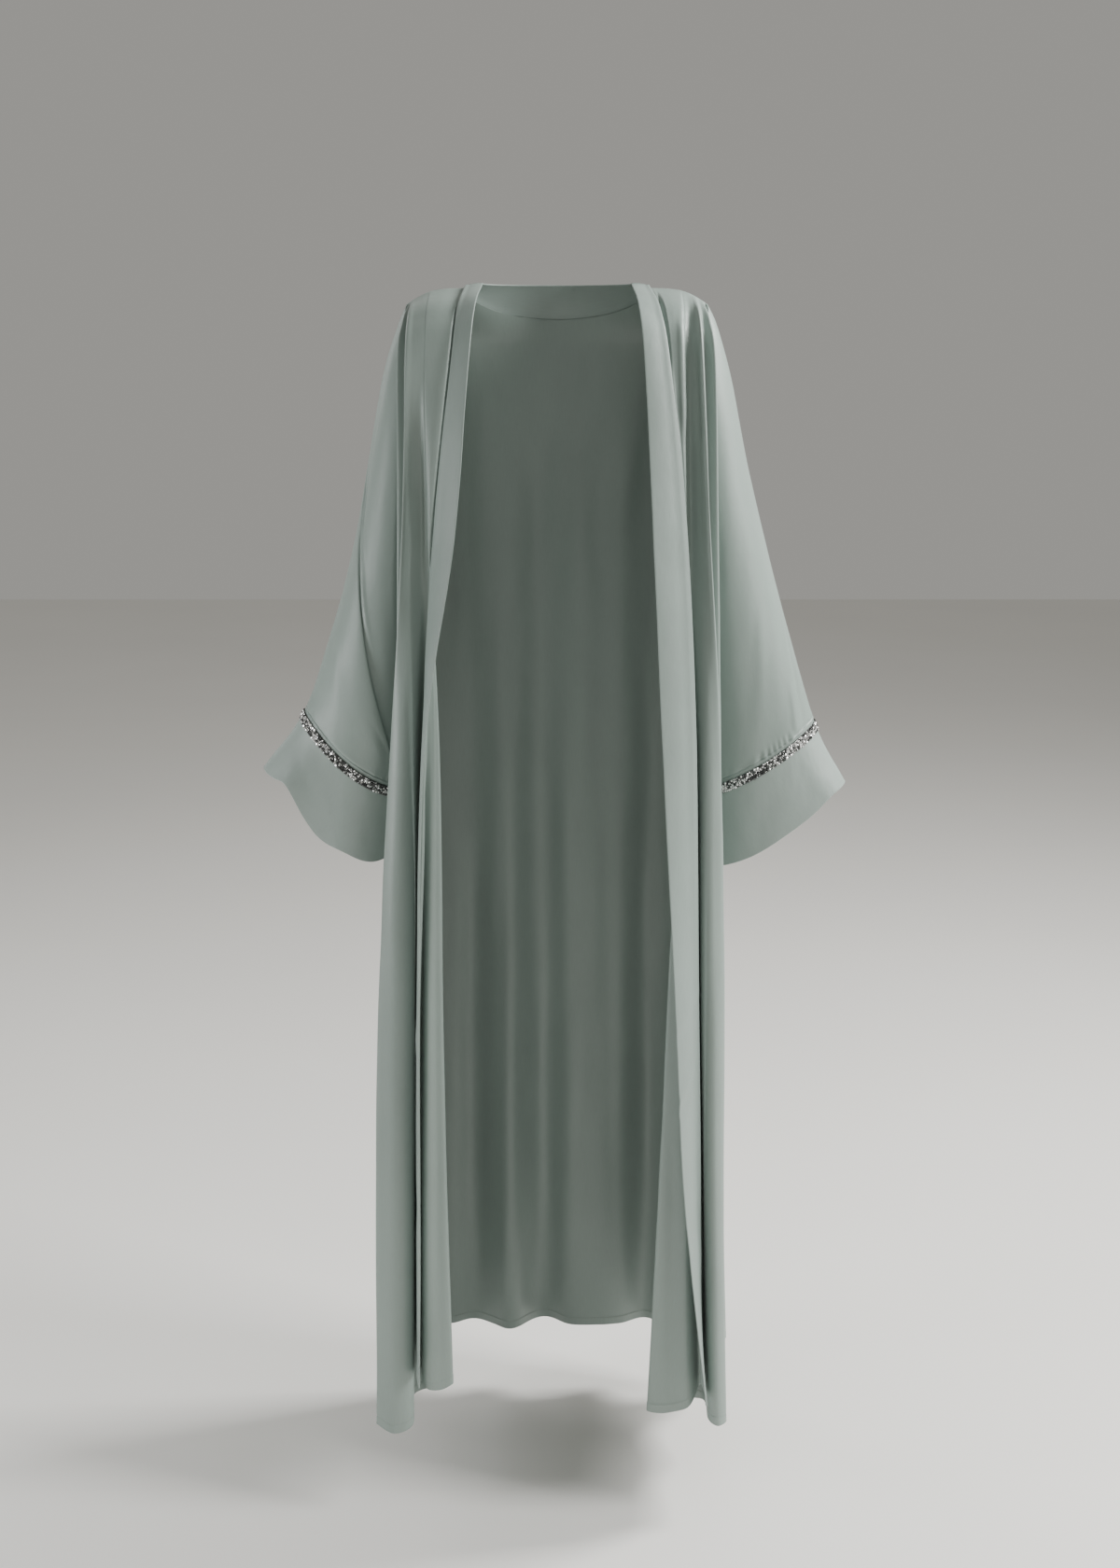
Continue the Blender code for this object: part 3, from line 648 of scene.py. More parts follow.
def crease_amounts(grid, creases, columns):
    """How far each point of a panel rises along soft ridges, or sinks into troughs."""
    amount = np.zeros(grid.shape[:2])
    for crease in creases:
        share = (crease.z_top - grid[:, :, 2]) / (crease.z_top - crease.z_bottom)
        centre = lerp(crease.x_top, crease.x_bottom, np.clip(share, 0, 1))
        ends = eased(share / 0.22)
        if crease.z_bottom > LAST_Z:
            ends = ends * eased((1 - share) / 0.3)
        ends = ends * eased((columns - crease.first + 0.5) / 0.8)
        ends = ends * eased((crease.last - columns + 0.5) / 0.8)
        amount += crease.depth * bell(grid[:, :, 0] - centre, crease.width) * ends
    return amount


def drift(grid, seed, height, across=46, down=240):
    """A slow uneven rise and fall over a grid, in millimetres."""
    amount = np.zeros(grid.shape[:2])
    for r, line in enumerate(grid):
        for c, point in enumerate(line):
            place = Vector(((point[0] + point[1]) / across + seed, seed * 1.7, point[2] / down))
            amount[r, c] = noise.noise(place) + 0.4 * noise.noise(place * 2.3)
    return amount * height


def faded_in(grid, depth, span):
    """Nothing down to this depth below the origin, and all of it a span lower."""
    return eased((-grid[:, :, 2] - depth) / span)


def lay(grid, amount, closed=False):
    return grid + outward_normals(grid, closed) * amount[:, :, None]


def seam_sunk(grid, away):
    """How far the cloth sinks at this distance from a seam, which starts below the shoulder."""
    return -SEAM_DIP * bell(away, SEAM_WIDTH) * faded_in(grid, *SEAM_FADE)


def seam_dip(grid, column):
    """How far the cloth sinks beside the seam along a column."""
    return seam_sunk(grid, np.linalg.norm(grid - grid[:, [column]], axis=2))


def band_groove(grid, columns, pleat):
    """How far a front sinks beside its band seam, and in a pleat between the band and a fold."""
    height = grid[:, :, 2]
    away = np.linalg.norm(grid - grid[:, [0]], axis=2)
    deep, place, half_width = GROOVE
    amount = -deep * bell(away - place, half_width) * eased((-height - pleat.seam_top) / 30)
    across = eased((columns - 0.1) / 0.4) * eased((2 - columns) / 0.45)
    down = eased((pleat.z_top - height) / 22) * eased((height - pleat.z_bottom) / 26)
    return amount - pleat.depth * across * down


def finished_front(front):
    """The middle surface of a front with its creases, in millimetres."""
    grid = front_grid(front)
    columns = np.array(places_of(FOLD_FACES[1:]))
    amount = crease_amounts(grid, front.creases, columns) + band_groove(grid, columns, front.pleat)
    calm = 0.35 + 0.65 * eased((columns - 6.5) / 1.5)
    amount += drift(grid, front.seed, FRONT_DRIFT) * calm * faded_in(grid, *WAVE_FADE)
    return lay(grid, amount + seam_dip(grid, -1))


def evened(grid):
    """Evens out the slope of the back over the shoulders, less towards its side edges."""
    places = np.arange(grid.shape[1])
    ease = eased(np.minimum(places, places[::-1]) / EDGE_COLUMNS)[None, :, None]
    first, last = SHOULDER_ROUND_ROWS
    for _ in range(EVENING_PASSES):
        middle = (grid[first - 1 : last - 1] + grid[first + 1 : last + 1]) / 2
        grid[first:last] += ease * (middle - grid[first:last]) / 2
    return grid


def finished_back():
    """The middle surface of the back with its creases, in millimetres."""
    grid = evened(back_grid())
    columns = np.zeros(grid.shape[1])
    amount = crease_amounts(grid, BACK_CREASES, columns)
    amount += drift(grid, BACK_SEED, BACK_DRIFT) * faded_in(grid, *WAVE_FADE)
    return lay(grid, amount + seam_dip(grid, 0) + seam_dip(grid, -1))


def band_lift(share, length):
    """How far a band of this width stands off what it lies on, at a share of the way across."""
    return BAND_STANDOFF + BAND_RISE * eased(share * length / BAND_RISE_SPAN)


def band_grid(panel, front):
    """The middle surface of a front band on its finished front, in millimetres."""
    free = [vec(NECK_EDGE_X, 0, 0)]
    for row in front.rows:
        free.append(vec(row.free_x, row.free_y, row.z))
    free[-1][2] += front.hems[0] + BAND_HEM
    free.insert(1, shoulder_round(free[0], free[1]))
    grid = []
    for step, start in zip(panel_places(), panel[:, 0]):
        forward = unit(vec(0, -1, max(0.0, 1.5 - step)))
        end = spline(free, step)
        across = end - start
        outward = unit(vec(-across[1], across[0], 0))
        if step < 1:
            outward = unit(lerp(outward, vec(0, 0, 1), 1 - step))
        length = np.linalg.norm(across)
        line = []
        for share in BAND_SHARES:
            point = start + across * share
            lift = band_lift(share, length) + BAND_LIFT * eased(1 - share * 4)
            swell = BAND_SWELL * max(0.0, share) * (1 - share) * length
            for wave in front.waves:
                near = (point[2] - wave.z + wave.slope * (share - 0.5) * length) / wave.width
                if abs(near) < 3:
                    reach = math.exp(-(((share - wave.share) / wave.reach) ** 2))
                    swell += wave.depth * math.exp(-near * near) * reach
            line.append(point + forward * lift + outward * swell)
        grid.append(line)
    grid = np.array(grid)
    return lay(grid, drift(grid, front.seed + 5, *BAND_DRIFT) * np.maximum(0, BAND_SHARES))


def neck_band_grid(faces=72):
    """The band round the back of the neck, from shoulder to shoulder, in millimetres."""
    grid = []
    for index in range(faces + 1):
        angle = math.pi * (index / faces - 0.5)
        seam = neck_point(angle, shoulder_point(0), BACK_NECK_SEAM)
        across = neck_point(angle, (NECK_EDGE_X, 0, 0), BACK_NECK_EDGE) - seam
        outward = unit(np.cross(across, vec(math.cos(angle), -math.sin(angle), 0)))
        outward = outward * math.copysign(1, outward[2])
        length = np.linalg.norm(across)
        line = []
        for share in BAND_SHARES:
            swell = NECK_BAND_SWELL * share * (1 - share) * length
            line.append(seam + across * share + outward * (band_lift(share, length) + swell))
        grid.append(line)
    return np.array(grid)


def fold_turn(share, place):
    """The share of a full turn, from the top fold round the front, at a share of the cloth."""
    at = math.acos(1 - 2 * place) / (2 * math.pi)
    if share <= FACES_ABOVE_FOLD:
        return at * share / FACES_ABOVE_FOLD
    if share <= 0.5:
        return lerp(at, 0.5, (share - FACES_ABOVE_FOLD) / (0.5 - FACES_ABOVE_FOLD))
    return share


def ring(shape, step):
    """One ring of a sleeve in millimetres, from its top fold round the front."""
    row = spline(np.array(shape.rows), step)
    outer_x, outer_z, under_x, under_z, front, back, sag, skew = row
    place, height = spline(np.array(shape.folds), step)
    edge = max(0.0, step - CUFF_SEAM) ** 2
    points = []
    for side in range(SLEEVE_SIDES):
        share = side / SLEEVE_SIDES
        span = max(-1.0, min(1.0, (share - FACES_ABOVE_FOLD) / FOLD_SPAN))
        overlap = FOLD_OVERLAP * min(1.0, abs(height) / 10) * math.sin(math.pi * span)
        angle = 2 * math.pi * fold_turn(share - overlap, place)
        across = (1 - math.cos(angle)) / 2
        x = lerp(outer_x, under_x, across)
        z = lerp(outer_z, under_z, across) - sag * math.sin(math.pi * across**skew)
        y = -back * math.sin(angle)
        if share <= 0.5:
            y = -(front - height * (1 - eased((span + 1) / 2))) * math.sin(angle)
        for wave in shape.waves:
            lift = wave.rise * math.exp(-(((across - wave.place) / wave.reach) ** 2)) * edge
            z += lift
            y -= 0.4 * lift
        points.append(vec(x, y, z))
    return points


def length_down(grid):
    """The distance of each point from the first row, down its own column."""
    steps = np.linalg.norm(np.diff(grid, axis=0), axis=2)
    return np.concatenate((np.zeros((1, grid.shape[1])), np.cumsum(steps, axis=0)))


def line_length(points):
    """The distance of each point of a line from its first point."""
    return length_down(points[:, None])[:, 0]


def length_up(grid):
    """The distance of each point from the last row, up its own column."""
    length = length_down(grid)
    return length[-1] - length


def at_lengths(at, length, points):
    """Points at these distances along a line of points with these lengths."""
    return np.stack([np.interp(at, length, points[:, axis]) for axis in range(3)], axis=-1)


def down_columns(at, length, grid):
    """Points of a grid with these lengths, at distances of their own down each column."""
    columns = range(grid.shape[1])
    return np.stack([at_lengths(at[c], length[:, c], grid[:, c]) for c in columns], axis=1)


def resampled(grid, count, depths):
    """A grid with even rows down to the first of these depths above its end, then one at each."""
    length = length_down(grid)
    at = []
    for whole in length[-1]:
        even = np.linspace(0, whole - depths[0], count + 1)[:-1]
        at.append(list(even) + [whole - depth for depth in depths])
    return down_columns(at, length, grid)


def sleeve_and_cuff(shape):
    """The middle surfaces of a sleeve and its cuff, in millimetres."""
    upper_places = places_of(SLEEVE_ROWS[:-1])
    upper = np.array([ring(shape, place) for place in upper_places])
    lower, cuff = [
        np.array([ring(shape, place) for place in np.linspace(first, first + 1, SEAM_RINGS)])
        for first in (CUFF_SEAM - 1, CUFF_SEAM)
    ]
    lower = resampled(lower, SLEEVE_ROWS[-1], SEAM_DEPTHS)[1:]
    sleeve = np.concatenate((upper, lower))
    places = CUFF_SEAM - 1 + np.linspace(0, 1, len(lower) + 1)[1:]
    places = np.concatenate((upper_places, places))
    amount = sleeve_crease_amounts(sleeve, places, shape.creases)
    calm = eased((CUFF_SEAM - places) / 0.5)[:, None]
    amount += drift(sleeve, shape.seed, *SLEEVE_DRIFT) * calm
    sleeve = lay(sleeve, amount + seam_rows(sleeve), True)
    cuff = resampled(cuff, CUFF_ROWS, EDGE_DEPTHS)
    below = length_down(cuff)
    amount = drift(cuff, shape.seed + 3, *CUFF_DRIFT) * eased(below / 20)
    amount += drift(cuff, shape.seed + 5, *CUFF_CRINKLE) * eased(below / 12)
    return sleeve, lay(cuff, amount + raised(below, CUFF_DIP), True)


def raised(away, shape):
    """A ridge, or a dip, of this depth, distance from a seam and half width."""
    depth, distance, width = shape
    return depth * bell(away - distance, width)


def sleeve_crease_amounts(grid, places, creases):
    """How far each point of a sleeve rises along its creases, or sinks."""
    shares = np.arange(SLEEVE_SIDES) / SLEEVE_SIDES
    girth = np.linalg.norm(grid - np.roll(grid, 1, axis=1), axis=2).sum(axis=1)
    amount = np.zeros(grid.shape[:2])
    for crease in creases:
        run = (places - crease.ring_top) / (crease.ring_bottom - crease.ring_top)
        centre = lerp(crease.side_top, crease.side_bottom, np.clip(run, 0, 1))
        away = shares[None, :] - centre[:, None]
        away = (away - np.round(away)) * girth[:, None]
        ends = eased(run / 0.3) * eased((1 - run) / 0.25)
        amount += crease.depth * bell(away, crease.width) * ends[:, None]
    return amount


def seam_rows(grid):
    """The dip and small puckers at a cuff seam, a sewn ridge above it, and the armhole seam."""
    below = length_up(grid)
    shares = np.arange(SLEEVE_SIDES) / SLEEVE_SIDES
    pinch = np.cos(2 * math.pi * (PUCKERS * shares + 0.9 * np.sin(2 * math.pi * 5 * shares)))
    uneven = 0.25 + 0.75 * (0.5 + 0.5 * np.cos(2 * math.pi * (3 * shares + 0.3))) ** 2
    amount = pinch * uneven * raised(below, PUCKER)
    for shape in (CUFF_DIP, RIDGE, RIDGE_GROOVE):
        amount += raised(below, shape)
    return amount + seam_sunk(grid, length_down(grid))


def grid_uvs(grid, closed):
    """Distances along the weft and the warp, in metres, with one more column if closed."""
    wide = np.concatenate((grid, grid[:, :1]), axis=1) if closed else grid
    middle = 0 if closed else wide.shape[1] // 2
    u = length_down(wide.swapaxes(0, 1)).T
    return np.stack((u - u[:, [middle]], -length_down(wide)), axis=2)


def quads_and_rim(index, closed):
    """Corners of a grid's faces, and pairs of neighbours round its edges, from its indices."""
    corners = (index[:-1, :-1], index[:-1, 1:], index[1:, 1:], index[1:, :-1])
    edges = [(index[0, :-1], index[0, 1:]), (index[-1, 1:], index[-1, :-1])]
    if not closed:
        edges += [(index[:-1, -1], index[1:, -1]), (index[1:, 0], index[:-1, 0])]
    faces = np.stack([corner.ravel() for corner in corners], 1)
    return faces, np.concatenate([np.stack(edge, 1) for edge in edges])


def placed(name, data, place=(0, 0, 0), turn=(0, 0, 0)):
    """A new object of the scene."""
    made = bpy.data.objects.new(name, data)
    bpy.context.scene.collection.objects.link(made)
    made.location = place
    made.rotation_euler = turn
    return made


def mesh_object(name, points, faces, materials, uvs=None, face_materials=None):
    """A mesh that rides on the one body, in its material slot."""
    mesh = bpy.data.meshes.new(name)
    mesh.from_pydata([tuple(p) for p in points], [], [tuple(int(i) for i in f) for f in faces])
    for material in materials:
        mesh.materials.append(material)
    if uvs is not None:
        layer = mesh.uv_layers.new(name="cloth")
        layer.data.foreach_set("uv", np.asarray(uvs, dtype=np.float32).ravel())
    if face_materials is not None:
        mesh.polygons.foreach_set("material_index", face_materials)
    mesh.update()
    piece = placed(name, mesh)
    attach(piece, "root")
    return piece


def cloth(name, stands_for, grid, wall, material, closed=False):
    """A thin closed wall of cloth round a grid in metres; wall is its thickness at each point."""
    rows, columns = grid.shape[:2]
    outward = outward_normals(grid, closed)
    same = np.sum(grid_normals(grid, closed) * outward) > 0
    half = np.broadcast_to(np.asarray(wall) / 2, (rows, columns))[:, :, None]
    points = np.concatenate(
        ((grid + outward * half).reshape(-1, 3), (grid - outward * half).reshape(-1, 3))
    )
    count = rows * columns
    wide = columns + 1 if closed else columns
    outer, edges = quads_and_rim(np.arange(rows * wide).reshape(rows, wide), closed)
    corners = np.concatenate((outer, outer[:, ::-1], edges[:, [1, 0, 0, 1]]))
    row, column = np.divmod(corners, wide)
    faces = row * columns + column % columns
    faces[len(outer) : 2 * len(outer)] += count
    faces[2 * len(outer) :, 2:] += count
    if not same:
        faces = faces[:, ::-1]
        corners = corners[:, ::-1]
    uvs = grid_uvs(grid, closed).reshape(-1, 2)[corners]
    piece = mesh_object(name, points, faces, [material], uvs)
    piece.data.shade_smooth()
    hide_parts(stands_for)
    return piece


def rounded(wall, away, radius):
    """Thins a wall to a round edge where the distance from the edge is less than a radius."""
    share = np.clip(away / radius, 0, 1)
    return wall * np.maximum(0.15, np.sqrt(1 - (1 - share) ** 2))


def band_wall(grid, wall):
    """The wall of a band, rounded off towards both its long edges."""
    widths = np.linalg.norm(grid[:, [-1]] - grid[:, [0]], axis=2)
    to_edge = np.minimum(BAND_SHARES - BAND_SHARES[0], 1 - BAND_SHARES) * widths
    return rounded(wall, to_edge, BAND_WALL / 2)


def hemmed(grid, wall):
    """A wall that is thicker over a turned hem at its last row, with a round edge."""
    away = length_up(grid)
    thick = wall + HEM_EXTRA * eased((HEM + 0.5 * MM - away) / MM)
    return rounded(thick, away, EDGE_RADIUS)


def hem_groove(grid):
    """A grid with a shallow groove along the stitches of its hem."""
    depth = 0.3 * MM * bell(length_up(grid) - HEM, MM)
    return grid - outward_normals(grid) * depth[:, :, None]


def hem_line(grid):
    """Points and outward normals of a grid along the stitches of its hem."""
    length = length_down(grid)
    at = length[-1] - HEM
    return down_columns(at, length, grid).T, unit(down_columns(at, length, outward_normals(grid)).T)


def evenly(points, directions, pitch):
    """Pairs of points at an even pitch along a line, each with the direction there."""
    length = line_length(points)
    at = np.arange(pitch / 2, length[-1], pitch)
    return at_lengths(at, length, points), unit(at_lengths(at, length, directions))


def stitches(name, lines, material):
    """One mesh of small thread stitches along lines of points and outward directions."""
    points, faces = [], []
    for line, ways in lines:
        places, normals = evenly(line, ways, STITCH_PITCH)
        run = unit(np.gradient(places, axis=0))
        for place, normal, way in zip(places, normals, run):
            side = unit(np.cross(normal, way))
            start = len(points)
            for reach, height in STITCH_PROFILE:
                lift = normal * (height - 0.1) * STITCH_THICK * 0.5
                centre = place + way * reach * STITCH_LENGTH + lift
                width = STITCH_THICK * (0.55 if abs(reach) < 0.3 else 0.38)
                crest = centre + normal * STITCH_THICK * 0.4
                points += [centre - side * width, crest, centre + side * width]
            for index in range(len(STITCH_PROFILE) - 1):
                a = start + index * 3
                faces += [(a, a + 1, a + 4, a + 3), (a + 1, a + 2, a + 5, a + 4)]
    piece = mesh_object(name, points, faces, [material])
    piece.data.shade_smooth()
    return piece


def seam_strip(sleeve, cuff, distances, lift):
    """A grid round a cuff seam at these signed distances from it, lifted off the cloth."""
    above = sleeve[-SEAM_ROWS_ABOVE:]
    near = np.concatenate((above, cuff[1:SEAM_ROWS_BELOW]))
    length = length_down(near)
    length = length - length[len(above) - 1]
    strip = down_columns([distances] * near.shape[1], length, near)
    return strip + outward_normals(strip, True) * lift


def stone_faces(start):
    """The faces of a stone whose three rings of points start at this index."""
    low, middle, top = np.arange(start, start + 3 * STONE_SIDES).reshape(3, STONE_SIDES)
    faces = [tuple(top)]
    for side in range(STONE_SIDES):
        other = (side + 1) % STONE_SIDES
        faces.append((low[side], low[other], middle[other], middle[side]))
        faces.append((middle[side], middle[other], top[side]))
        faces.append((middle[other], top[other], top[side]))
    return faces


def stones(name, strip, distances, materials, seed):
    """One mesh of faceted stones set close together in uneven rows along a strip."""
    pick = random.Random(seed)
    normals = outward_normals(strip, True)
    ends = np.concatenate((strip, strip[:, :1]), axis=1)
    ways = np.concatenate((normals, normals[:, :1]), axis=1)
    length = line_length(ends[len(distances) // 2])
    points, faces, kinds = [], [], []
    for lane in STONE_LANES:
        at = pick.uniform(0, 2 * MM)
        while at < length[-1] - MM:
            radius = pick.choice(STONE_RADII) * pick.uniform(0.9, 1.1)
            at += radius
            row = lane * MM + pick.uniform(-STONE_STRAY, STONE_STRAY) * MM
            column = np.interp(at, length, np.arange(len(length)))
            place, normal = on_strip(ends, ways, distances, row, column)
            tilt = unit(normal + vec(*(pick.gauss(0, STONE_TILT) for axis in range(3))))
            aside = unit(np.cross(tilt, vec(0.3, 0.2, 1)))
            up = np.cross(tilt, aside)
            turn = pick.uniform(0, math.pi)
            start = len(points)
            for reach, height, shift in STONE_RINGS:
                for side in range(STONE_SIDES):
                    angle = turn + (side + shift) * 2 * math.pi / STONE_SIDES
                    spoke = aside * math.cos(angle) + up * math.sin(angle)
                    points.append(place + (spoke * reach + tilt * height) * radius)
            found = stone_faces(start)
            faces += found
            kinds += [pick.choices((0, 1, 2), STONE_MIX)[0]] * len(found)
            at += radius * pick.uniform(0.95, 1.3)
    return mesh_object(name, points, faces, materials, face_materials=kinds)


def on_strip(strip, normals, distances, distance, column):
    """The point and normal of a strip at a distance across it and a place along its columns."""
    row = np.interp(distance, distances, np.arange(len(distances)))
    r, c = min(int(row), strip.shape[0] - 2), min(int(column), strip.shape[1] - 2)
    found = []
    for grid in (strip, normals):
        above, below = lerp(grid[r : r + 2, c], grid[r : r + 2, c + 1], column - c)
        found.append(lerp(above, below, row - r))
    return found[0], unit(found[1])


def mirrored(grid, side):
    """A grid on its own side of the body, in metres."""
    return grid * (side, 1, 1) * MM


def set_values(made, values):
    for key, value in values.items():
        made.inputs[key].default_value = value


def node(tree, kind, values, **settings):
    """A new shader node with its settings and the values of its inputs."""
    made = tree.nodes.new(kind)
    for key, value in settings.items():
        setattr(made, key, value)
    set_values(made, values)
    return made


def wired(tree, source, kind, values, **settings):
    """A new texture or mapping node that reads its place from a source."""
    made = node(tree, kind, values, **settings)
    tree.links.new(source, made.inputs["Vector"])
    return made


def object_place(tree):
    return node(tree, "ShaderNodeTexCoord", {}).outputs["Object"]


def cloth_place(tree):
    return node(tree, "ShaderNodeUVMap", {}, uv_map="cloth").outputs["UV"]


def noise_at(tree, source, stretch, detail):
    """Noise at a place that is first multiplied by a stretch along each axis."""
    place = wired(tree, source, "ShaderNodeMapping", {"Scale": stretch}).outputs["Vector"]
    values = {"Scale": 1.0, "Detail": detail, "Roughness": 0.55}
    return wired(tree, place, "ShaderNodeTexNoise", values).outputs["Fac"]


def ribs(tree, source, scale, distortion, direction):
    """Fine ribs that waver a little."""
    values = {"Scale": scale, "Distortion": distortion, "Detail": 1.0, "Detail Scale": 1.5}
    settings = {"wave_type": "BANDS", "bands_direction": direction}
    return wired(tree, source, "ShaderNodeTexWave", values, **settings).outputs["Fac"]


def weighted(tree, *parts):
    """The sum of values, each times its weight."""
    total = None
    for value, weight in parts:
        made = node(tree, "ShaderNodeMath", {1: weight, 2: 0.0}, operation="MULTIPLY_ADD")
        tree.links.new(value, made.inputs[0])
        if total:
            tree.links.new(total, made.inputs[2])
        total = made.outputs["Value"]
    return total


def bump(tree, height, strength, distance):
    made = node(tree, "ShaderNodeBump", {"Strength": strength, "Distance": distance})
    tree.links.new(height, made.inputs["Height"])
    return made


def shade(colour, factor):
    return tuple(channel * factor for channel in colour) + (1,)


def two_tones(tree, shader, value, colour, tones, ends=(0.0, 1.0)):
    """Colours a shader from a darker to a lighter tone as a value goes from end to end."""
    ramp = node(tree, "ShaderNodeValToRGB", {})
    for element, tone, end in zip(ramp.color_ramp.elements, tones, ends):
        element.position = end
        element.color = shade(colour, tone)
    tree.links.new(value, ramp.inputs["Fac"])
    tree.links.new(ramp.outputs["Color"], shader.inputs["Base Color"])


def new_material(name, values):
    """A material with these values of its shader, its node tree and the shader."""
    material = bpy.data.materials.new(name)
    material.use_nodes = True
    tree = material.node_tree
    shader = tree.nodes["Principled BSDF"]
    set_values(shader, values)
    return material, tree, shader


def satin(name, colour, rough):
    """Satin-backed crepe: a fine twill with slubs, slow tonal drift and a soft sheen."""
    values = {"Sheen Weight": 0.12, "Sheen Roughness": 0.35, "Specular IOR Level": 0.55}
    material, tree, shader = new_material(name, {**values, "Sheen Tint": (0.86, 0.95, 0.9, 1)})
    link = tree.links.new
    place = object_place(tree)
    warp = cloth_place(tree)

    slow = noise_at(tree, place, (7, 7, 2.6), 3.0)
    slubs = noise_at(tree, warp, (900, 60, 1), 2.0)
    grain = noise_at(tree, warp, (2600, 2600, 1), 2.0)
    tone = weighted(tree, (slow, 0.62), (slubs, 0.22), (grain, 0.16))
    two_tones(tree, shader, tone, colour, (0.9, 1.09), (0.34, 0.66))

    values = {"From Min": 0.3, "From Max": 0.7, "To Min": rough[0], "To Max": rough[1]}
    gloss = node(tree, "ShaderNodeMapRange", values)
    patches = noise_at(tree, place, (30, 30, 14), 4.0)
    link(weighted(tree, (patches, 0.6), (slubs, 0.4)), gloss.inputs["Value"])
    link(gloss.outputs["Result"], shader.inputs["Roughness"])

    twill = ribs(tree, warp, 630.0, 0.6, "DIAGONAL")
    weft = ribs(tree, warp, 720.0, 0.4, "X")
    fine = bump(tree, weighted(tree, (twill, 0.6), (weft, 0.4), (slubs, 0.8)), 0.35, 0.00006)
    crepe = bump(tree, noise_at(tree, place, (70, 70, 34), 3.0), 0.5, 0.0007)
    link(crepe.outputs["Normal"], fine.inputs["Normal"])
    link(fine.outputs["Normal"], shader.inputs["Normal"])
    return material


def mottled(name, values, colour, tones, scale, detail=3.0, ends=(0.0, 1.0)):
    """A plain material whose colour drifts between two tones."""
    material, tree, shader = new_material(name, values)
    value = noise_at(tree, object_place(tree), (scale, scale, scale), detail)
    two_tones(tree, shader, value, colour, tones, ends)
    return material


def thread(name, colour):
    return mottled(name, {"Roughness": 0.45}, colour, (0.82, 1.15), 900.0)


def crystal(name, colour, metallic, roughness):
    """A foil-backed stone, with each stone a little lighter or darker than the next."""
    values = {"Metallic": metallic, "Roughness": roughness, "Coat Weight": 0.6}
    return mottled(name, values, colour, (0.6, 1.25), 420.0, 1.0, (0.3, 0.7))


def floor_material():
    return mottled("pale_floor", {"Roughness": 0.75}, FLOOR_COLOUR, (0.97, 1.03), 1.2)


def backing(name, colour):
    """The dark net that carries the stones."""
    material, tree, shader = new_material(name, {"Roughness": 0.5})
    cells = wired(tree, cloth_place(tree), "ShaderNodeTexVoronoi", {"Scale": 900.0})
    two_tones(tree, shader, cells.outputs["Distance"], colour, (0.6, 1.5))
    relief = bump(tree, cells.outputs["Distance"], 0.6, 0.0003)
    tree.links.new(relief.outputs["Normal"], shader.inputs["Normal"])
    return material


def build_panel(name, stands_for, flat, sewing_name, materials, inside=False):
    """A panel with its hem, and the stitches of the hem on the outside or on both sides."""
    grid = hem_groove(flat)
    panel = cloth(name, stands_for, grid, hemmed(grid, WALL), materials["satin"])
    line, ways = hem_line(grid)
    sides = [(line + ways * WALL / 2, ways)]
    if inside:
        sides.append((line - ways * (WALL / 2 + HEM_EXTRA / 2), -ways))
    return panel, stitches(sewing_name, sides, materials["thread"])


def build_back(materials):
    """The back panel and the band round the neck."""
    flat = finished_back() * MM
    back, sewing = build_panel("satin_back", "back", flat, "back_stitches", materials, inside=True)
    ring_grid = neck_band_grid() * MM
    wall = band_wall(ring_grid, BAND_WALL)
    neck = cloth("satin_band_neck", "band_neck", ring_grid, wall, materials["band"])


def build_front(name, front, materials):
    """A front panel and its band."""
    body = "satin_front_" + name
    flat = finished_front(front)
    sewing_name = "front_stitches_" + name
    mirror = mirrored(flat, front.side)
    panel, sewing = build_panel(body, "front_" + name, mirror, sewing_name, materials)
    strip = mirrored(band_grid(flat, front), front.side)
    wall = band_wall(strip, hemmed(strip, BAND_WALL))
    band = cloth("satin_band_" + name, "band_" + name, strip, wall, materials["band"])


def build_sleeve(name, shape, materials):
    """A sleeve, its cuff and the jewelled trim over their seam."""
    names = ["satin_sleeve_" + name, "satin_cuff_" + name, "trim_net_" + name]
    upper, lower = [mirrored(grid, shape.side) for grid in sleeve_and_cuff(shape)]
    satin_cloth = materials["satin"]
    sleeve = cloth(names[0], "sleeve_" + name, upper, WALL, satin_cloth, closed=True)
    wall = rounded(CUFF_WALL, length_up(lower), EDGE_RADIUS)
    cuff = cloth(names[1], "cuff_" + name, lower, wall, materials["cuff"], closed=True)
    distances = np.linspace(-TRIM_WIDTH / 2, TRIM_WIDTH / 2, 9)
    strip = seam_strip(upper, lower, distances, TRIM_STANDOFF)
    wall = rounded(NET_WALL, TRIM_WIDTH / 2 - np.abs(distances), NET_WALL)[:, None]
    net = cloth(names[2], "trim_" + name, strip, wall, materials["net"], closed=True)
    lifted = seam_strip(upper, lower, distances, TRIM_STANDOFF + 0.3 * MM)
    kinds = [materials["silver"], materials["clear"], materials["smoke"]]
    jewels = stones("trim_stones_" + name, lifted, distances, kinds, shape.seed * 10)


def area_light(name, place, target, size, power, colour):
    data = bpy.data.lights.new(name, "AREA")
    data.shape = "RECTANGLE"
    data.size, data.size_y = size
    data.energy = power
    data.color = colour
    placed(name, data, place, (Vector(target) - Vector(place)).to_track_quat("-Z", "Y").to_euler())


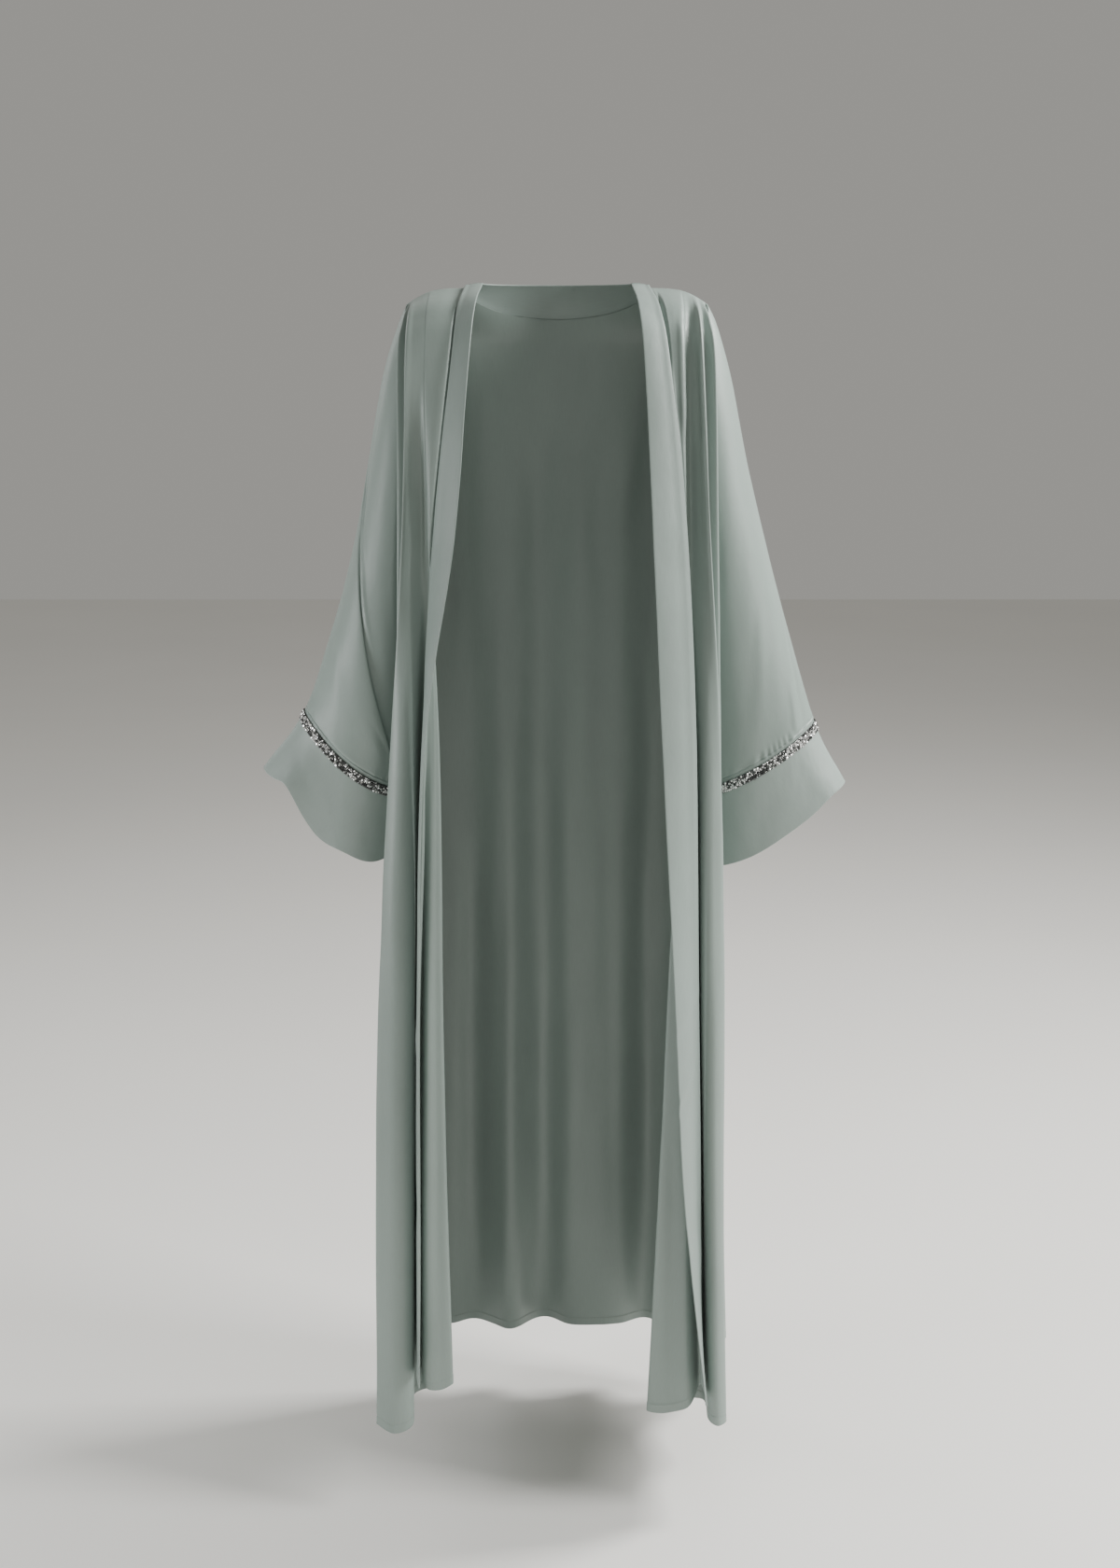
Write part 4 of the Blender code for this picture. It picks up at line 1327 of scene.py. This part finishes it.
def build_studio():
    """The pale floor, the soft surround, the lamps and the camera."""
    mesh = bpy.data.meshes.new("floor")
    corners = [(x * FLOOR_REACH, y * FLOOR_REACH, FLOOR_Z) for x, y in ((-1, -1), (1, -1), (1, 1), (-1, 1))]
    mesh.from_pydata(corners, [], [(0, 1, 2, 3)])
    mesh.materials.append(floor_material())
    placed("floor", mesh)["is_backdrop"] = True

    world = bpy.data.worlds.new("pale_studio")
    world.use_nodes = True
    surround = {"Color": WORLD_COLOUR, "Strength": WORLD_STRENGTH}
    set_values(world.node_tree.nodes["Background"], surround)
    bpy.context.scene.world = world
    for lamp in LAMPS:
        area_light(*lamp)

    data = bpy.data.cameras.new("camera")
    data.sensor_width = SENSOR_WIDTH
    data.lens = LENS
    data.shift_y = SHIFT_Y
    turn = (math.radians(90 - CAMERA_PITCH), 0, 0)
    bpy.context.scene.camera = placed("camera", data, CAMERA_PLACE, turn)


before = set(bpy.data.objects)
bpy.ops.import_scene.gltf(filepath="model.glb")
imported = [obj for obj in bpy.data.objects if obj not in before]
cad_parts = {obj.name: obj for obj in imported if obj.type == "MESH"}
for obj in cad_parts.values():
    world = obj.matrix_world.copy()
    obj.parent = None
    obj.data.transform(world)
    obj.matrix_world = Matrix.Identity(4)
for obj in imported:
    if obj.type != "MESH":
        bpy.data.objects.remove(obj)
cad_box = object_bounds()

materials = {
    "satin": satin("sage_satin_cloth", SAGE, (0.36, 0.5)),
    "band": satin("sage_band_cloth", BAND_SAGE, (0.38, 0.52)),
    "cuff": satin("sage_cuff_cloth", CUFF_SAGE, (0.4, 0.54)),
    "thread": thread("sage_thread", THREAD),
    "net": backing("trim_net_dark", NET_DARK),
    "silver": crystal("stone_silver", SILVER, 0.9, 0.14),
    "clear": crystal("stone_clear", CLEAR, 0.35, 0.08),
    "smoke": crystal("stone_smoke", SMOKE, 0.8, 0.12),
}
build_back(materials)
for name, front in FRONTS.items():
    build_front(name, front, materials)
for name, shape in SLEEVES.items():
    build_sleeve(name, shape, materials)
build_studio()

[[list(map(float, corner)) for corner in box] for box in (cad_box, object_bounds())]
